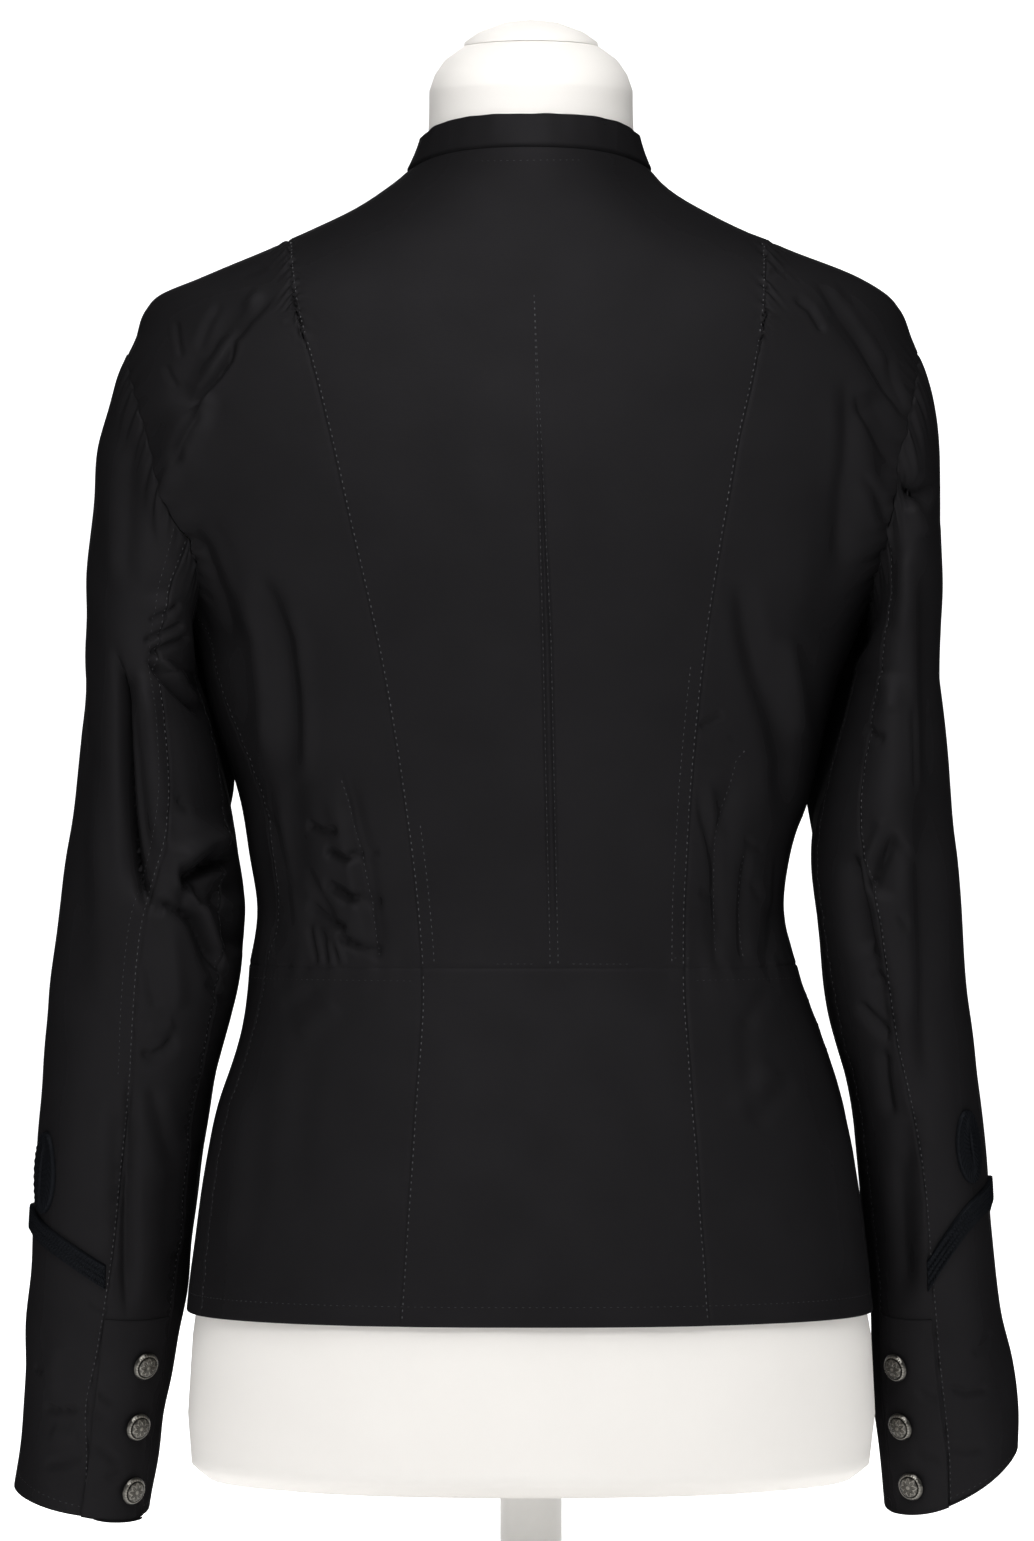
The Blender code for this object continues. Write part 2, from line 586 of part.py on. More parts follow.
def back_panels():
    """The back above the waist seam: one middle piece and a piece at each side."""
    rows = ROWS_WAIST_TO_UNDERARM + ROWS_ARMHOLE + 1
    edges = {side: princess_edge(side, rows) for side in SIGN}
    angles, heights = blend_edges(edges["right"], edges["left"], CELLS_NECK)
    share = np.linspace(0.0, 1.0, ROWS_SHOULDER_TO_NECK // 2 + 1)[1:, None]
    across = np.linspace(-math.pi / 2, math.pi / 2, CELLS_NECK + 1)[None, :]
    top_angles = angles[-1:] * (1 - share) + across * share
    top_heights = PRINCESS_TOP + (neckline(across) - PRINCESS_TOP) * share
    angles = np.concatenate([angles, top_angles])
    heights = np.concatenate([heights, top_heights])
    wall("back_centre", *body_surface(angles, heights))
    for side in SIGN:
        grid = blend_edges(edges[side], side_edge(side, front=False), CELLS_BACK_SIDE)
        wall(f"back_side_{side}", *body_surface(*grid))


def centre_front(side, heights):
    """Angles of three lines by the front edge: short of the middle, the middle, and the edge past it."""
    past = OVERLAP if side == "right" else UNDERLAP
    other = "left" if side == "right" else "right"
    near = angle_at_x(LAP_COLUMN, heights, side, front=True)
    middle = np.full(np.shape(heights), SIGN[side] * math.pi)
    edge = SIGN[side] * (2 * math.pi) + angle_at_x(past, heights, other, front=True)
    return near, middle, edge


def front_grid(side, outer_edge, heights):
    """Grid of angles and heights from a side or shoulder edge to a front edge."""
    near, middle, edge = centre_front(side, heights)
    angles, levels = blend_edges(outer_edge, (near, heights), CELLS_FRONT)
    angles = np.concatenate([angles, middle[:, None], edge[:, None]], axis=1)
    return angles, np.concatenate([levels, heights[:, None], heights[:, None]], axis=1)


def front_top(side):
    """Angles round the body of the columns of a front's neck edge."""
    height = np.array([neckline(math.pi)])
    edge = (np.array([SIGN[side] * math.pi / 2]), np.array([NECK_SIDE]))
    return front_grid(side, edge, height)[0][0]


def front_panels():
    """The two fronts above the waist seam, the right one lapped over the left."""
    for side in SIGN:
        angles, heights = side_edge(side, front=True)
        share = np.linspace(0.0, 1.0, ROWS_SHOULDER_TO_NECK + 1)[1:]
        shoulder_heights = SHOULDER_TIP + (NECK_SIDE - SHOULDER_TIP) * share
        shoulder_angles = np.full(len(share), SIGN[side] * math.pi / 2)
        outer_edge = (np.concatenate([angles, shoulder_angles]), np.concatenate([heights, shoulder_heights]))
        rows = len(outer_edge[0])
        turns = np.cumsum([0, ROWS_WAIST_TO_UNDERARM, ROWS_ARMHOLE, ROWS_SHOULDER_TO_NECK])
        levels = np.interp(np.arange(rows), turns, (WAIST, FRONT_LOW, FRONT_HIGH, neckline(math.pi)))
        angles, heights = front_grid(side, outer_edge, levels)
        rise = np.clip((np.arange(rows) - (rows - 1 - ROWS_SHOULDER_TO_NECK)) / ROWS_SHOULDER_TO_NECK, 0, 1)
        bend = neckline(angles[-1]) - heights[-1]
        heights = heights + rise[:, None] ** 2 * bend[None, :]
        wall(f"front_{side}", *body_surface(angles, heights, lapped=side == "right"))


def peplum_panels():
    """The pieces below the waist seam, down to the hem."""
    heights = np.linspace(HEM, WAIST, ROWS_PEPLUM + 1)
    seams = {side: angle_at_x(read(PRINCESS, side, heights), heights, side) for side in SIGN}
    grid = blend_edges((seams["right"], heights), (seams["left"], heights), CELLS_PEPLUM_BACK)
    wall("peplum_back", *body_surface(*grid))
    for side in SIGN:
        side_seam = angle_at_y(read(SIDE_SEAM, side, heights), heights, side)
        grid = blend_edges((seams[side], heights), (side_seam, heights), CELLS_PEPLUM_SIDE)
        wall(f"peplum_side_{side}", *body_surface(*grid))
        grid = front_grid(side, (side_seam, heights), heights)
        wall(f"peplum_front_{side}", *body_surface(*grid, lapped=side == "right"))


def collar():
    """The stand collar, a band from centre front round the back to centre front."""
    across = np.linspace(-math.pi / 2, math.pi / 2, CELLS_NECK + 1)
    fronts = {side: front_top(side)[1:-1] for side in SIGN}
    for side, forward in fronts.items():
        forward[-1] -= SIGN[side] * COLLAR_STOP
    angles = np.concatenate([fronts["right"][::-1], across, fronts["left"]])[None, :]
    heights = neckline(angles) + COLLAR_RISE * np.linspace(0.0, 1.0, 3)[:, None]
    wall("collar_stand", *body_surface(angles + 0 * heights, heights), gap=NARROW_GAP)


def hanging_in(turn):
    """Share of a sleeve's inner fullness at a turn."""
    off = (turn - math.radians(FULLNESS_TURN) + math.pi) % (2 * math.pi) - math.pi
    return np.exp(-((off / math.radians(FULLNESS_REACH)) ** 2))


def tube_ring(side, turn, height):
    """Points round a sleeve at a height of its axis, as if it were the left one."""
    table = SLEEVES[side]

    def axis(h):
        middle = (read(table, "outer", h) + read(table, "inner", h)) / 2
        return np.stack([middle, read(table, "middle", h), h], axis=-1)

    tangent = unit(axis(height + 0.004) - axis(height - 0.004))
    across = np.array([1.0, 0.0, 0.0]) - tangent * tangent[..., :1]
    across = unit(across)
    deep = np.cross(tangent, across)
    half_width = (read(table, "outer", height) - read(table, "inner", height)) / 2
    half_depth = read(table, "half_depth", height)
    s = np.sin(turn)
    c = np.cos(turn)
    r = (np.abs(s) ** SLEEVE_SQUARENESS + np.abs(c) ** SLEEVE_SQUARENESS) ** (-1 / SLEEVE_SQUARENESS)
    inwards = half_width * c * r - read(table, "fullness", height) * hanging_in(turn)
    return axis(height) + across * inwards[..., None] + deep * (half_depth * s * r)[..., None]


def sleeve_base(side, turn, down):
    """The sleeve surface: down is 0 at the armhole, 1 at the top of the tube and 2 at the cuff."""
    turn, down = np.broadcast_arrays(np.asarray(turn, float), np.asarray(down, float))
    mirror = np.array([SIGN[side], 1.0, 1.0])
    heights = SLEEVE_TOP + (CUFF - SLEEVE_TOP) * np.maximum(down - 1, 0)
    tube = tube_ring(side, turn, heights)
    low = np.clip((down - HEM_LIFT_START) / (2 - HEM_LIFT_START), 0, 1)
    tube[..., 2] += HEM_LIFT[side] * ((1 + np.cos(turn)) / 2) ** 2 * low ** 2
    opening = armhole(side, turn)
    off_body = surface_normals(body_base, *opening) * (UNDERARM_GAP * ease(-np.cos(turn)))[..., None]
    start = (body_base(*opening) + off_body) * mirror
    leave = unit(np.stack([CAP_OUT + CAP_OUT_TOP * np.cos(turn), 0 * turn, 0 * turn - 1], axis=-1))
    first = start + CAP_LEAVE * leave
    second = tube.copy()
    second[..., 2] += CAP_ARRIVE * (start[..., 2] - tube[..., 2])
    u = np.clip(down, 0, 1)[..., None]
    cap = (1 - u) ** 3 * start + 3 * u * (1 - u) ** 2 * first + 3 * u * u * (1 - u) * second + u ** 3 * tube
    cap[..., 0] -= CAP_FULLNESS * hanging_in(turn) * 4 * u[..., 0] * (1 - u[..., 0])
    return np.where((down < 1)[..., None], cap, tube) * mirror


def sleeve_surface(side, turn, down):
    """Points and outward normals of a sleeve's outer face."""
    turn, down = np.broadcast_arrays(np.asarray(turn, float), np.asarray(down, float))
    points = sleeve_base(side, turn, down)
    inner = np.clip(down, 0.01, 1.99)
    normals = surface_normals(lambda u, v: sleeve_base(side, u, v), turn, inner, dv=0.008) * SIGN[side]
    shoulder = surface_normals(body_base, *armhole(side, turn))
    agree = (normals * shoulder).sum(-1)
    at_seam = (ease(1 - down / CAP_MITRE) * ease((agree - MITRE_LIMIT) / MITRE_RUN))[..., None]
    normals = unit(normals * (1 - at_seam) + shoulder * at_seam)
    facing = ease(FOLD_TURN * normals[..., 1] + SLEEVE_FOLD_START)
    rise = facing * fold_rise(SLEEVE_FOLDS[side], points[..., 0], points[..., 2]) * ease(down / CAP_PLAIN)
    return points + normals * rise[..., None], normals


def seam_turn(side, name, down):
    """Turn of one of a sleeve's two seams."""
    top = SLEEVE_BACK_SEAM_TOP if name == "back_seam" else SLEEVE_UNDER_SEAM_TOP
    heights = SLEEVE_TOP + (CUFF - SLEEVE_TOP) * np.clip(down - 1, 0, 1)
    below = read(SLEEVES[side], name, heights)
    return np.radians(np.where(down < 1, top + (below - top) * ease(down), below))


def sleeves():
    """Each sleeve is a wide upper piece and a narrow under piece."""
    cap_rows = np.linspace(0.0, 1.0, ROWS_CAP + 1)[:-1]
    down = np.concatenate([cap_rows, np.linspace(1.0, 2.0, ROWS_SLEEVE + 1)])
    for side in SIGN:
        back = seam_turn(side, "back_seam", down)
        under = seam_turn(side, "under_seam", down)
        grid = blend_edges((under - 2 * math.pi, down), (back, down), CELLS_UPPER_SLEEVE)
        wall(f"sleeve_upper_{side}", *sleeve_surface(side, *grid), gap=NARROW_GAP)
        grid = blend_edges((back, down), (under, down), CELLS_UNDER_SLEEVE)
        wall(f"sleeve_under_{side}", *sleeve_surface(side, *grid), gap=NARROW_GAP)


def down_at(height):
    """The sleeve parameter of a height below the top of the tube."""
    return 1 + (SLEEVE_TOP - height) / (SLEEVE_TOP - CUFF)


def on_sleeve(side, turn_degrees, around, height, lift):
    """Points above a sleeve, given as distances round it from a turn, and heights."""
    radius = read(SLEEVES[side], "half_depth", height)
    turn = math.radians(turn_degrees) + around / radius
    points, normals = sleeve_surface(side, turn, down_at(height))
    return points + normals * lift, normals


def braids():
    """A flat braid chevron and a loop above its point on each sleeve."""
    lift = BRAID_GAP + BRAID_THICKNESS
    for side, place in BRAID.items():
        along = np.linspace(-1.0, 1.0, CELLS_BRAID + 1)
        around = along * BRAID_SPREAD
        middle, half_height = braid_line(place, along)
        share = np.linspace(-1.0, 1.0, 3)[:, None]
        heights = middle[None, :] + half_height * share
        points, normals = on_sleeve(side, place["angle"], around[None, :] + 0 * share, heights, lift)
        wall(f"cuff_braid_{side}", points, normals, "black_braid", BRAID_THICKNESS, gap=0.0)
        loop(side, LOOP[side], lift)


def loop(side, place, lift):
    """An upright oval loop of braid, closed but for a narrow slit in its middle."""
    turn = np.arange(LOOP_SIDES) / LOOP_SIDES * 2 * math.pi
    half_high = (place["top"] - place["foot"]) / 2
    centre = place["foot"] + half_high
    edges = []
    for wide, high in ((LOOP_WIDTH / 2, half_high), (LOOP_SLIT / 2, half_high - LOOP_END)):
        edges.append(on_sleeve(side, place["angle"], wide * np.cos(turn), centre + high * np.sin(turn), lift))
    outer = np.stack([points for points, _ in edges])
    inner = np.stack([points - normals * BRAID_THICKNESS for points, normals in edges])
    ring_wall(f"cuff_loop_{side}", outer, inner, "black_braid")


def braid_line(place, along):
    """Height of the braid's middle, and half of its upright height, from the chevron's point to its ends."""
    away = np.abs(along)
    middle = place["point"] - place["drop"] * away + place["bow"] * np.sin(np.pi * away)
    slope = (place["drop"] - place["bow"] * np.pi * np.cos(np.pi * away)) / BRAID_SPREAD
    return middle, BRAID_WIDTH / 2 * np.hypot(1, slope)


def vents():
    """The lapped strip of each cuff opening, on the under side of the sleeve's back seam."""
    lift = VENT_GAP + VENT_THICKNESS
    heights = np.linspace(VENT_TOP, CUFF + VENT_HEM_RISE, ROWS_VENT + 1)[:, None]
    for side, (start, end) in VENT.items():
        turn = np.radians(np.linspace(start, end, CELLS_VENT + 1))[None, :]
        points, normals = sleeve_surface(side, turn, down_at(heights))
        wall(f"cuff_vent_{side}", points + normals * lift, normals, "black_cloth", VENT_THICKNESS, gap=0.0)


def button(name, seat, normal):
    """A domed metal button whose back rests at a seat and faces along a normal."""
    rings = [circle(radius, height, BUTTON_SIDES) for radius, height in BUTTON_PROFILE]
    obj = turned(name, rings, "antique_metal", top=(0.0, 0.0, BUTTON_TOP))
    obj.location = Vector(seat)
    obj.rotation_euler = Vector(normal).to_track_quat("Z", "Y").to_euler()
    return obj


def buttons():
    """Three buttons on each cuff vent and a row down the centre front."""
    lift = VENT_GAP + VENT_THICKNESS + LAY_GAP
    for side, places in CUFF_BUTTONS.items():
        for i, (turn, height) in enumerate(places):
            point, normal = sleeve_surface(side, math.radians(turn), down_at(height))
            button(f"cuff_button_{side}_{i + 1}", point + normal * lift, normal)
    for i in range(FRONT_BUTTON_COUNT):
        height = np.array(FRONT_BUTTON_TOP - i * FRONT_BUTTON_SPACING)
        point, normal = body_surface(np.array(-math.pi), height, lapped=True)
        button(f"front_button_{i + 1}", point + normal * 2 * LAY_GAP, normal)


def form_ring(height):
    """One level ring of the dress form, just inside the cloth."""
    turn = np.arange(FORM_SIDES) / FORM_SIDES * 2 * math.pi
    height = np.full(FORM_SIDES, height)
    inside = CLOTH + read(BODY, "clearance", height)
    points = body_base(turn, height) - surface_normals(body_base, turn, height) * inside[:, None]
    past = np.abs(points[:, 0]) / FORM_SHOULDER
    points[:, 0] /= (1 + past ** FORM_SHOULDER_TURN) ** (1 / FORM_SHOULDER_TURN)
    return points


def form():
    """The cloth-covered form, its neck cap, its pole and its round base."""
    turn = np.arange(FORM_SIDES) / FORM_SIDES * 2 * math.pi
    rings = [section(turn, **dict(zip(FORM_HIP_COLUMNS.split(), row))) for row in FORM_HIP_ROWS]
    rings += [form_ring(height) for height in FORM_HEIGHTS]
    rings += [section(turn, height, *[radius] * 4, 2.0) for height, radius in NECK_TOP_ROWS]
    turned("form_torso", rings, "cream_cover")
    cap_rings = [circle(radius, height, FORM_SIDES) for height, radius in CAP_ROWS]
    turned("form_cap", cap_rings, "cream_cover", top=(0.0, 0.0, CAP_TOP))
    pole_ends = (BASE_THICKNESS + LAY_GAP, FORM_FOOT - LAY_GAP)
    turned("form_pole", [circle(POLE_RADIUS, height, POLE_SIDES) for height in pole_ends], "white_paint")
    bevel = BASE_RADIUS - BASE_BEVEL
    profile = ((BASE_RADIUS, 0.0), (BASE_RADIUS, BASE_THICKNESS - BASE_BEVEL), (bevel, BASE_THICKNESS))
    turned("form_base", [circle(radius, height, BASE_SIDES) for radius, height in profile], "white_paint")


def main():
    """Clears the scene and builds every piece."""
    for obj in list(bpy.data.objects):
        bpy.data.objects.remove(obj, do_unlink=True)
    back_panels()
    front_panels()
    peplum_panels()
    collar()
    sleeves()
    vents()
    braids()
    buttons()
    form()


main()
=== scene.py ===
"""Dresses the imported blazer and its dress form: cloth with its creases, sewing, braid, buttons and light.

Metres, +Z up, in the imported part's own frame. The tables of sizes are the part's own, so every
sheet lies where its solid does. Small creases of the back are given in pixels of the photograph.
"""

import math

import bpy
import numpy as np
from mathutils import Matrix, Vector


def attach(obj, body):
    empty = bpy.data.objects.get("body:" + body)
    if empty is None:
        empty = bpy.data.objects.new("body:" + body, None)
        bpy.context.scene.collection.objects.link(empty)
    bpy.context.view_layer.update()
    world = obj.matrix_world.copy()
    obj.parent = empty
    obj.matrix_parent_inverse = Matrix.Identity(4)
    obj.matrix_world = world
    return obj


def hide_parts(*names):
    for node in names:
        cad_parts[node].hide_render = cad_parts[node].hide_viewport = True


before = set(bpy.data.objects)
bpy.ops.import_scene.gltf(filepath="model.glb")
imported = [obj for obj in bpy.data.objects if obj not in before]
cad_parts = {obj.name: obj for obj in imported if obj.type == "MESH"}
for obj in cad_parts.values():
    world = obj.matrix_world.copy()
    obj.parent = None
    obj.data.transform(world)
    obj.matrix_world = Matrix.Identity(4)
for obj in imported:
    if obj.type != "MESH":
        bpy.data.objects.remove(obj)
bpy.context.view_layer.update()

MILLIMETRE = 0.001

# Camera and picture
CAMERA = (0.00725, 3.6, 0.452)
PIXEL = 0.000518
PICTURE = (1034, 1541)
SENSOR = 36.0
LENS = SENSOR * CAMERA[1] / (PIXEL * PICTURE[1])
BACK_DEPTH = 0.09
PICTURE_STEPS = 6
PATH_POINTS = 400

# Heights and clearances of the part
CLOTH = 0.0015
CUFF = 0.066
HEM = 0.173
WAIST = 0.352
UNDERARM = 0.535
SHOULDER_TIP = 0.668
PRINCESS_TOP = 0.7265
NECK_SIDE = 0.7618
NECK_BACK_RISE = 0.0072
NECK_BACK_DEPTH = 0.068
NECK_FRONT_DROP = 0.0528
NECK_FRONT_DEPTH = 0.0742
NECK_FRONT_CURVE = 3.0
NECKLINE_STEPS = 30
COLLAR_RISE = 0.018
COLLAR_STOP = 0.007
COLLAR_STEP_OUT = 0.0007
COLLAR_BELLY = 0.0005
COLLAR_WAVE = 0.0004
COLLAR_STEP_RUN = 0.10
COLLAR_RIPPLE = (0.35, 41)
COLLAR_DIP = 0.0011
COLLAR_END_DIP = 0.0003
SLEEVE_TOP = 0.500
OVERLAP = 0.014
UNDERLAP = 0.012
LAP_LIFT = CLOTH + 0.0011
LAP_EASE = 0.012
LAP_RUN = 0.010
LAP_COLUMN = 0.0135
FRONT_LOW = 0.530
FRONT_HIGH = 0.672
LAY_GAP = 0.0003

BODY_COLUMNS = "height left right back front squareness clearance"
BODY_ROWS = (
    (0.173, 0.1780, 0.1770, 0.1210, 0.1170, 2.30, 0.0024),
    (0.225, 0.1720, 0.1710, 0.1155, 0.1150, 2.30, 0.0028),
    (0.280, 0.1620, 0.1610, 0.1050, 0.1110, 2.30, 0.0034),
    (0.317, 0.1500, 0.1500, 0.0955, 0.1075, 2.30, 0.0038),
    (0.352, 0.1455, 0.1375, 0.0880, 0.1050, 2.25, 0.0042),
    (0.380, 0.1420, 0.1310, 0.0860, 0.1060, 2.25, 0.0045),
    (0.411, 0.1455, 0.1350, 0.0885, 0.1110, 2.25, 0.0050),
    (0.442, 0.1520, 0.1450, 0.0930, 0.1190, 2.25, 0.0056),
    (0.488, 0.1670, 0.1560, 0.1005, 0.1290, 2.30, 0.0075),
    (0.535, 0.1780, 0.1740, 0.1060, 0.1300, 2.40, 0.0090),
    (0.580, 0.2050, 0.2000, 0.1080, 0.1220, 2.60, 0.0090),
    (0.625, 0.2150, 0.2100, 0.1060, 0.1070, 2.60, 0.0085),
    (0.655, 0.2120, 0.2040, 0.1010, 0.0945, 2.50, 0.0070),
    (0.675, 0.2050, 0.1965, 0.0965, 0.0865, 2.40, 0.0050),
    (0.690, 0.1994, 0.1906, 0.0925, 0.0805, 2.30, 0.0038),
    (0.697, 0.1930, 0.1850, 0.0905, 0.0780, 2.20, 0.0026),
    (0.706, 0.1735, 0.1710, 0.0880, 0.0750, 2.10, 0.0018),
    (0.7214, 0.1370, 0.1340, 0.0830, 0.0695, 2.05, 0.0016),
    (0.737, 0.1020, 0.0980, 0.0780, 0.0645, 2.00, 0.0016),
    (0.752, 0.0772, 0.0720, 0.0735, 0.0600, 2.00, 0.0016),
    (0.7618, 0.0648, 0.0627, 0.0705, 0.0580, 2.00, 0.0016),
    (0.769, 0.0600, 0.0590, 0.0680, 0.0565, 2.00, 0.0014),
    (0.7794, 0.0562, 0.0562, 0.0625, 0.0555, 2.00, 0.0012),
    (0.787, 0.0556, 0.0556, 0.0585, 0.0550, 2.00, 0.0011),
    (0.804, 0.0552, 0.0552, 0.0570, 0.0545, 2.00, 0.0010),
)

PRINCESS_COLUMNS = "height left right"
PRINCESS_ROWS = (
    (0.173, 0.0666, 0.0902),
    (0.271, 0.0602, 0.0833),
    (0.347, 0.0560, 0.0785),
    (0.389, 0.0592, 0.0792),
    (0.434, 0.0647, 0.0814),
    (0.483, 0.0721, 0.0853),
    (0.518, 0.0786, 0.0892),
    (0.577, 0.0920, 0.0982),
    (0.620, 0.1017, 0.1057),
    (0.657, 0.1110, 0.1140),
    (0.6815, 0.1180, 0.1180),
    (0.710, 0.1230, 0.1200),
    (0.7265, 0.1248, 0.1202),
)

SIDE_SEAM_COLUMNS = "height left right"
SIDE_SEAM_ROWS = (
    (0.173, 0.045, -0.005),
    (0.352, 0.036, -0.005),
    (0.450, 0.042, -0.005),
    (0.490, 0.042, -0.005),
    (0.515, 0.036, -0.002),
    (0.535, 0.020, 0.000),
)

ARMHOLES = {
    "left": {"lean": 0.020, "back": 0.058, "front": 0.060},
    "right": {"lean": 0.000, "back": 0.062, "front": 0.056},
}

SLEEVE_COLUMNS = "height outer inner middle half_depth back_seam under_seam fullness"
SLEEVE_ROWS = {
    "left": (
        (0.066, 0.2715, 0.2003, -0.058, 0.042, 97, 150, 0.0000),
        (0.100, 0.2674, 0.1947, -0.052, 0.042, 92, 150, 0.0000),
        (0.131, 0.2657, 0.1898, -0.046, 0.043, 87, 149, 0.0000),
        (0.162, 0.2640, 0.1838, -0.039, 0.044, 91, 148, 0.0000),
        (0.210, 0.2600, 0.1765, -0.029, 0.047, 94, 146, 0.0000),
        (0.250, 0.2570, 0.1715, -0.019, 0.050, 95, 143, 0.0000),
        (0.302, 0.2528, 0.1625, -0.007, 0.053, 94, 142, 0.0000),
        (0.333, 0.2497, 0.1545, -0.001, 0.055, 90, 142, 0.0000),
        (0.380, 0.2445, 0.1480, 0.004, 0.058, 90, 148, 0.0000),
        (0.411, 0.2414, 0.1523, 0.004, 0.060, 103, 155, 0.0040),
        (0.442, 0.2378, 0.1575, 0.003, 0.062, 110, 162, 0.0170),
        (0.475, 0.2335, 0.1660, 0.002, 0.063, 113, 168, 0.0190),
        (0.500, 0.2305, 0.1740, 0.001, 0.063, 115, 170, 0.0166),
    ),
    "right": (
        (0.066, 0.2560, 0.1862, -0.058, 0.042, 96, 150, 0.0000),
        (0.100, 0.2562, 0.1830, -0.052, 0.042, 95, 150, 0.0000),
        (0.131, 0.2527, 0.1792, -0.046, 0.043, 94, 150, 0.0000),
        (0.162, 0.2462, 0.1785, -0.039, 0.045, 94, 150, 0.0000),
        (0.210, 0.2410, 0.1745, -0.029, 0.048, 94, 150, 0.0000),
        (0.250, 0.2375, 0.1705, -0.019, 0.051, 94, 150, 0.0000),
        (0.302, 0.2305, 0.1615, -0.007, 0.056, 97, 150, 0.0000),
        (0.333, 0.2258, 0.1535, -0.001, 0.059, 99, 150, 0.0000),
        (0.380, 0.2227, 0.1476, 0.004, 0.062, 104, 155, 0.0000),
        (0.411, 0.2196, 0.1450, 0.004, 0.063, 112, 160, 0.0080),
        (0.442, 0.2170, 0.1515, 0.003, 0.063, 118, 165, 0.0210),
        (0.475, 0.2145, 0.1610, 0.002, 0.063, 120, 170, 0.0205),
        (0.500, 0.2120, 0.1680, 0.001, 0.062, 120, 172, 0.0175),
    ),
}
SLEEVE_SQUARENESS = 2.15
SLEEVE_RADIUS = 0.05
AXIS_STEP = 0.004
FULLNESS_TURN = -124
FULLNESS_REACH = 22
CAP_FULLNESS = 0.006
HEM_LIFT = {"left": 0.007, "right": 0.031}
HEM_LIFT_START = 1.7
SLEEVE_BACK_SEAM_TOP = 120
SLEEVE_UNDER_SEAM_TOP = 180
UNDERARM_GAP = 0.0008
CAP_LEAVE = 0.030
CAP_ARRIVE = 0.45
CAP_OUT = 0.353
CAP_OUT_TOP = 0.294
CAP_PLAIN = 0.30
ARMHOLE_MIDDLE = (SHOULDER_TIP + UNDERARM) / 2
ARMHOLE_HALF = (SHOULDER_TIP - UNDERARM) / 2
ARMHOLE_REACH = 0.062
LEAN_CURVE = 1.5

# The part's largest folds, seen from behind: path as points (x, z), rise, reach on each side
BACK_FOLDS = (
    (((0.143, 0.692), (0.168, 0.660), (0.180, 0.632)), -0.0040, 0.008, 0.006),
    (((0.150, 0.678), (0.160, 0.664), (0.176, 0.640)), 0.0025, 0.007, 0.007),
    (((-0.150, 0.696), (-0.168, 0.672), (-0.190, 0.638)), -0.0036, 0.006, 0.008),
    (((-0.168, 0.645), (-0.180, 0.622), (-0.190, 0.600)), -0.0040, 0.010, 0.008),
    (((0.172, 0.640), (0.186, 0.600), (0.190, 0.570)), 0.0040, 0.010, 0.014),
    (((0.178, 0.585), (0.165, 0.550), (0.158, 0.505)), -0.0045, 0.014, 0.012),
    (((-0.160, 0.610), (-0.158, 0.560), (-0.150, 0.510)), -0.0040, 0.014, 0.012),
    (((0.094, 0.452), (0.084, 0.410), (0.078, 0.366), (0.076, 0.352)), -0.0022, 0.006, 0.004),
    (((0.112, 0.385), (0.106, 0.352)), -0.0018, 0.005, 0.004),
    (((0.136, 0.452), (0.128, 0.352)), -0.0018, 0.006, 0.004),
    (((-0.104, 0.458), (-0.096, 0.420), (-0.094, 0.352)), -0.0022, 0.005, 0.006),
    (((-0.110, 0.410), (-0.108, 0.352)), -0.0018, 0.004, 0.005),
    (((-0.124, 0.385), (-0.120, 0.352)), -0.0018, 0.004, 0.006),
)
SLEEVE_FOLDS = {
    "left": (
        (((0.209, 0.515), (0.205, 0.456), (0.200, 0.405), (0.194, 0.378)), -0.0085, 0.012, 0.007),
        (((0.236, 0.490), (0.234, 0.420), (0.228, 0.330)), -0.0030, 0.009, 0.009),
        (((0.162, 0.430), (0.172, 0.412), (0.188, 0.404)), 0.0050, 0.014, 0.012),
        (((0.156, 0.412), (0.168, 0.400), (0.180, 0.394)), -0.0080, 0.008, 0.008),
        (((0.180, 0.396), (0.168, 0.372), (0.158, 0.346)), -0.0050, 0.006, 0.009),
        (((0.190, 0.545), (0.182, 0.525), (0.172, 0.495)), 0.0045, 0.010, 0.008),
        (((0.210, 0.290), (0.210, 0.220), (0.208, 0.168)), -0.0035, 0.009, 0.007),
    ),
    "right": (
        (((-0.188, 0.598), (-0.198, 0.596), (-0.207, 0.592)), -0.0060, 0.007, 0.006),
        (((-0.201, 0.455), (-0.205, 0.380), (-0.206, 0.290)), -0.0035, 0.010, 0.010),
        (((-0.189, 0.418), (-0.180, 0.404), (-0.172, 0.388)), -0.0050, 0.006, 0.009),
        (((-0.164, 0.398), (-0.168, 0.372), (-0.176, 0.345), (-0.182, 0.310)), -0.0045, 0.008, 0.006),
        (((-0.180, 0.500), (-0.184, 0.455), (-0.182, 0.410)), 0.0040, 0.012, 0.012),
        (((-0.191, 0.290), (-0.193, 0.220), (-0.192, 0.168)), -0.0030, 0.008, 0.008),
    ),
}
FOLD_FADE = 0.22
FOLD_TURN = 3.0
SLEEVE_FOLD_START = 0.3

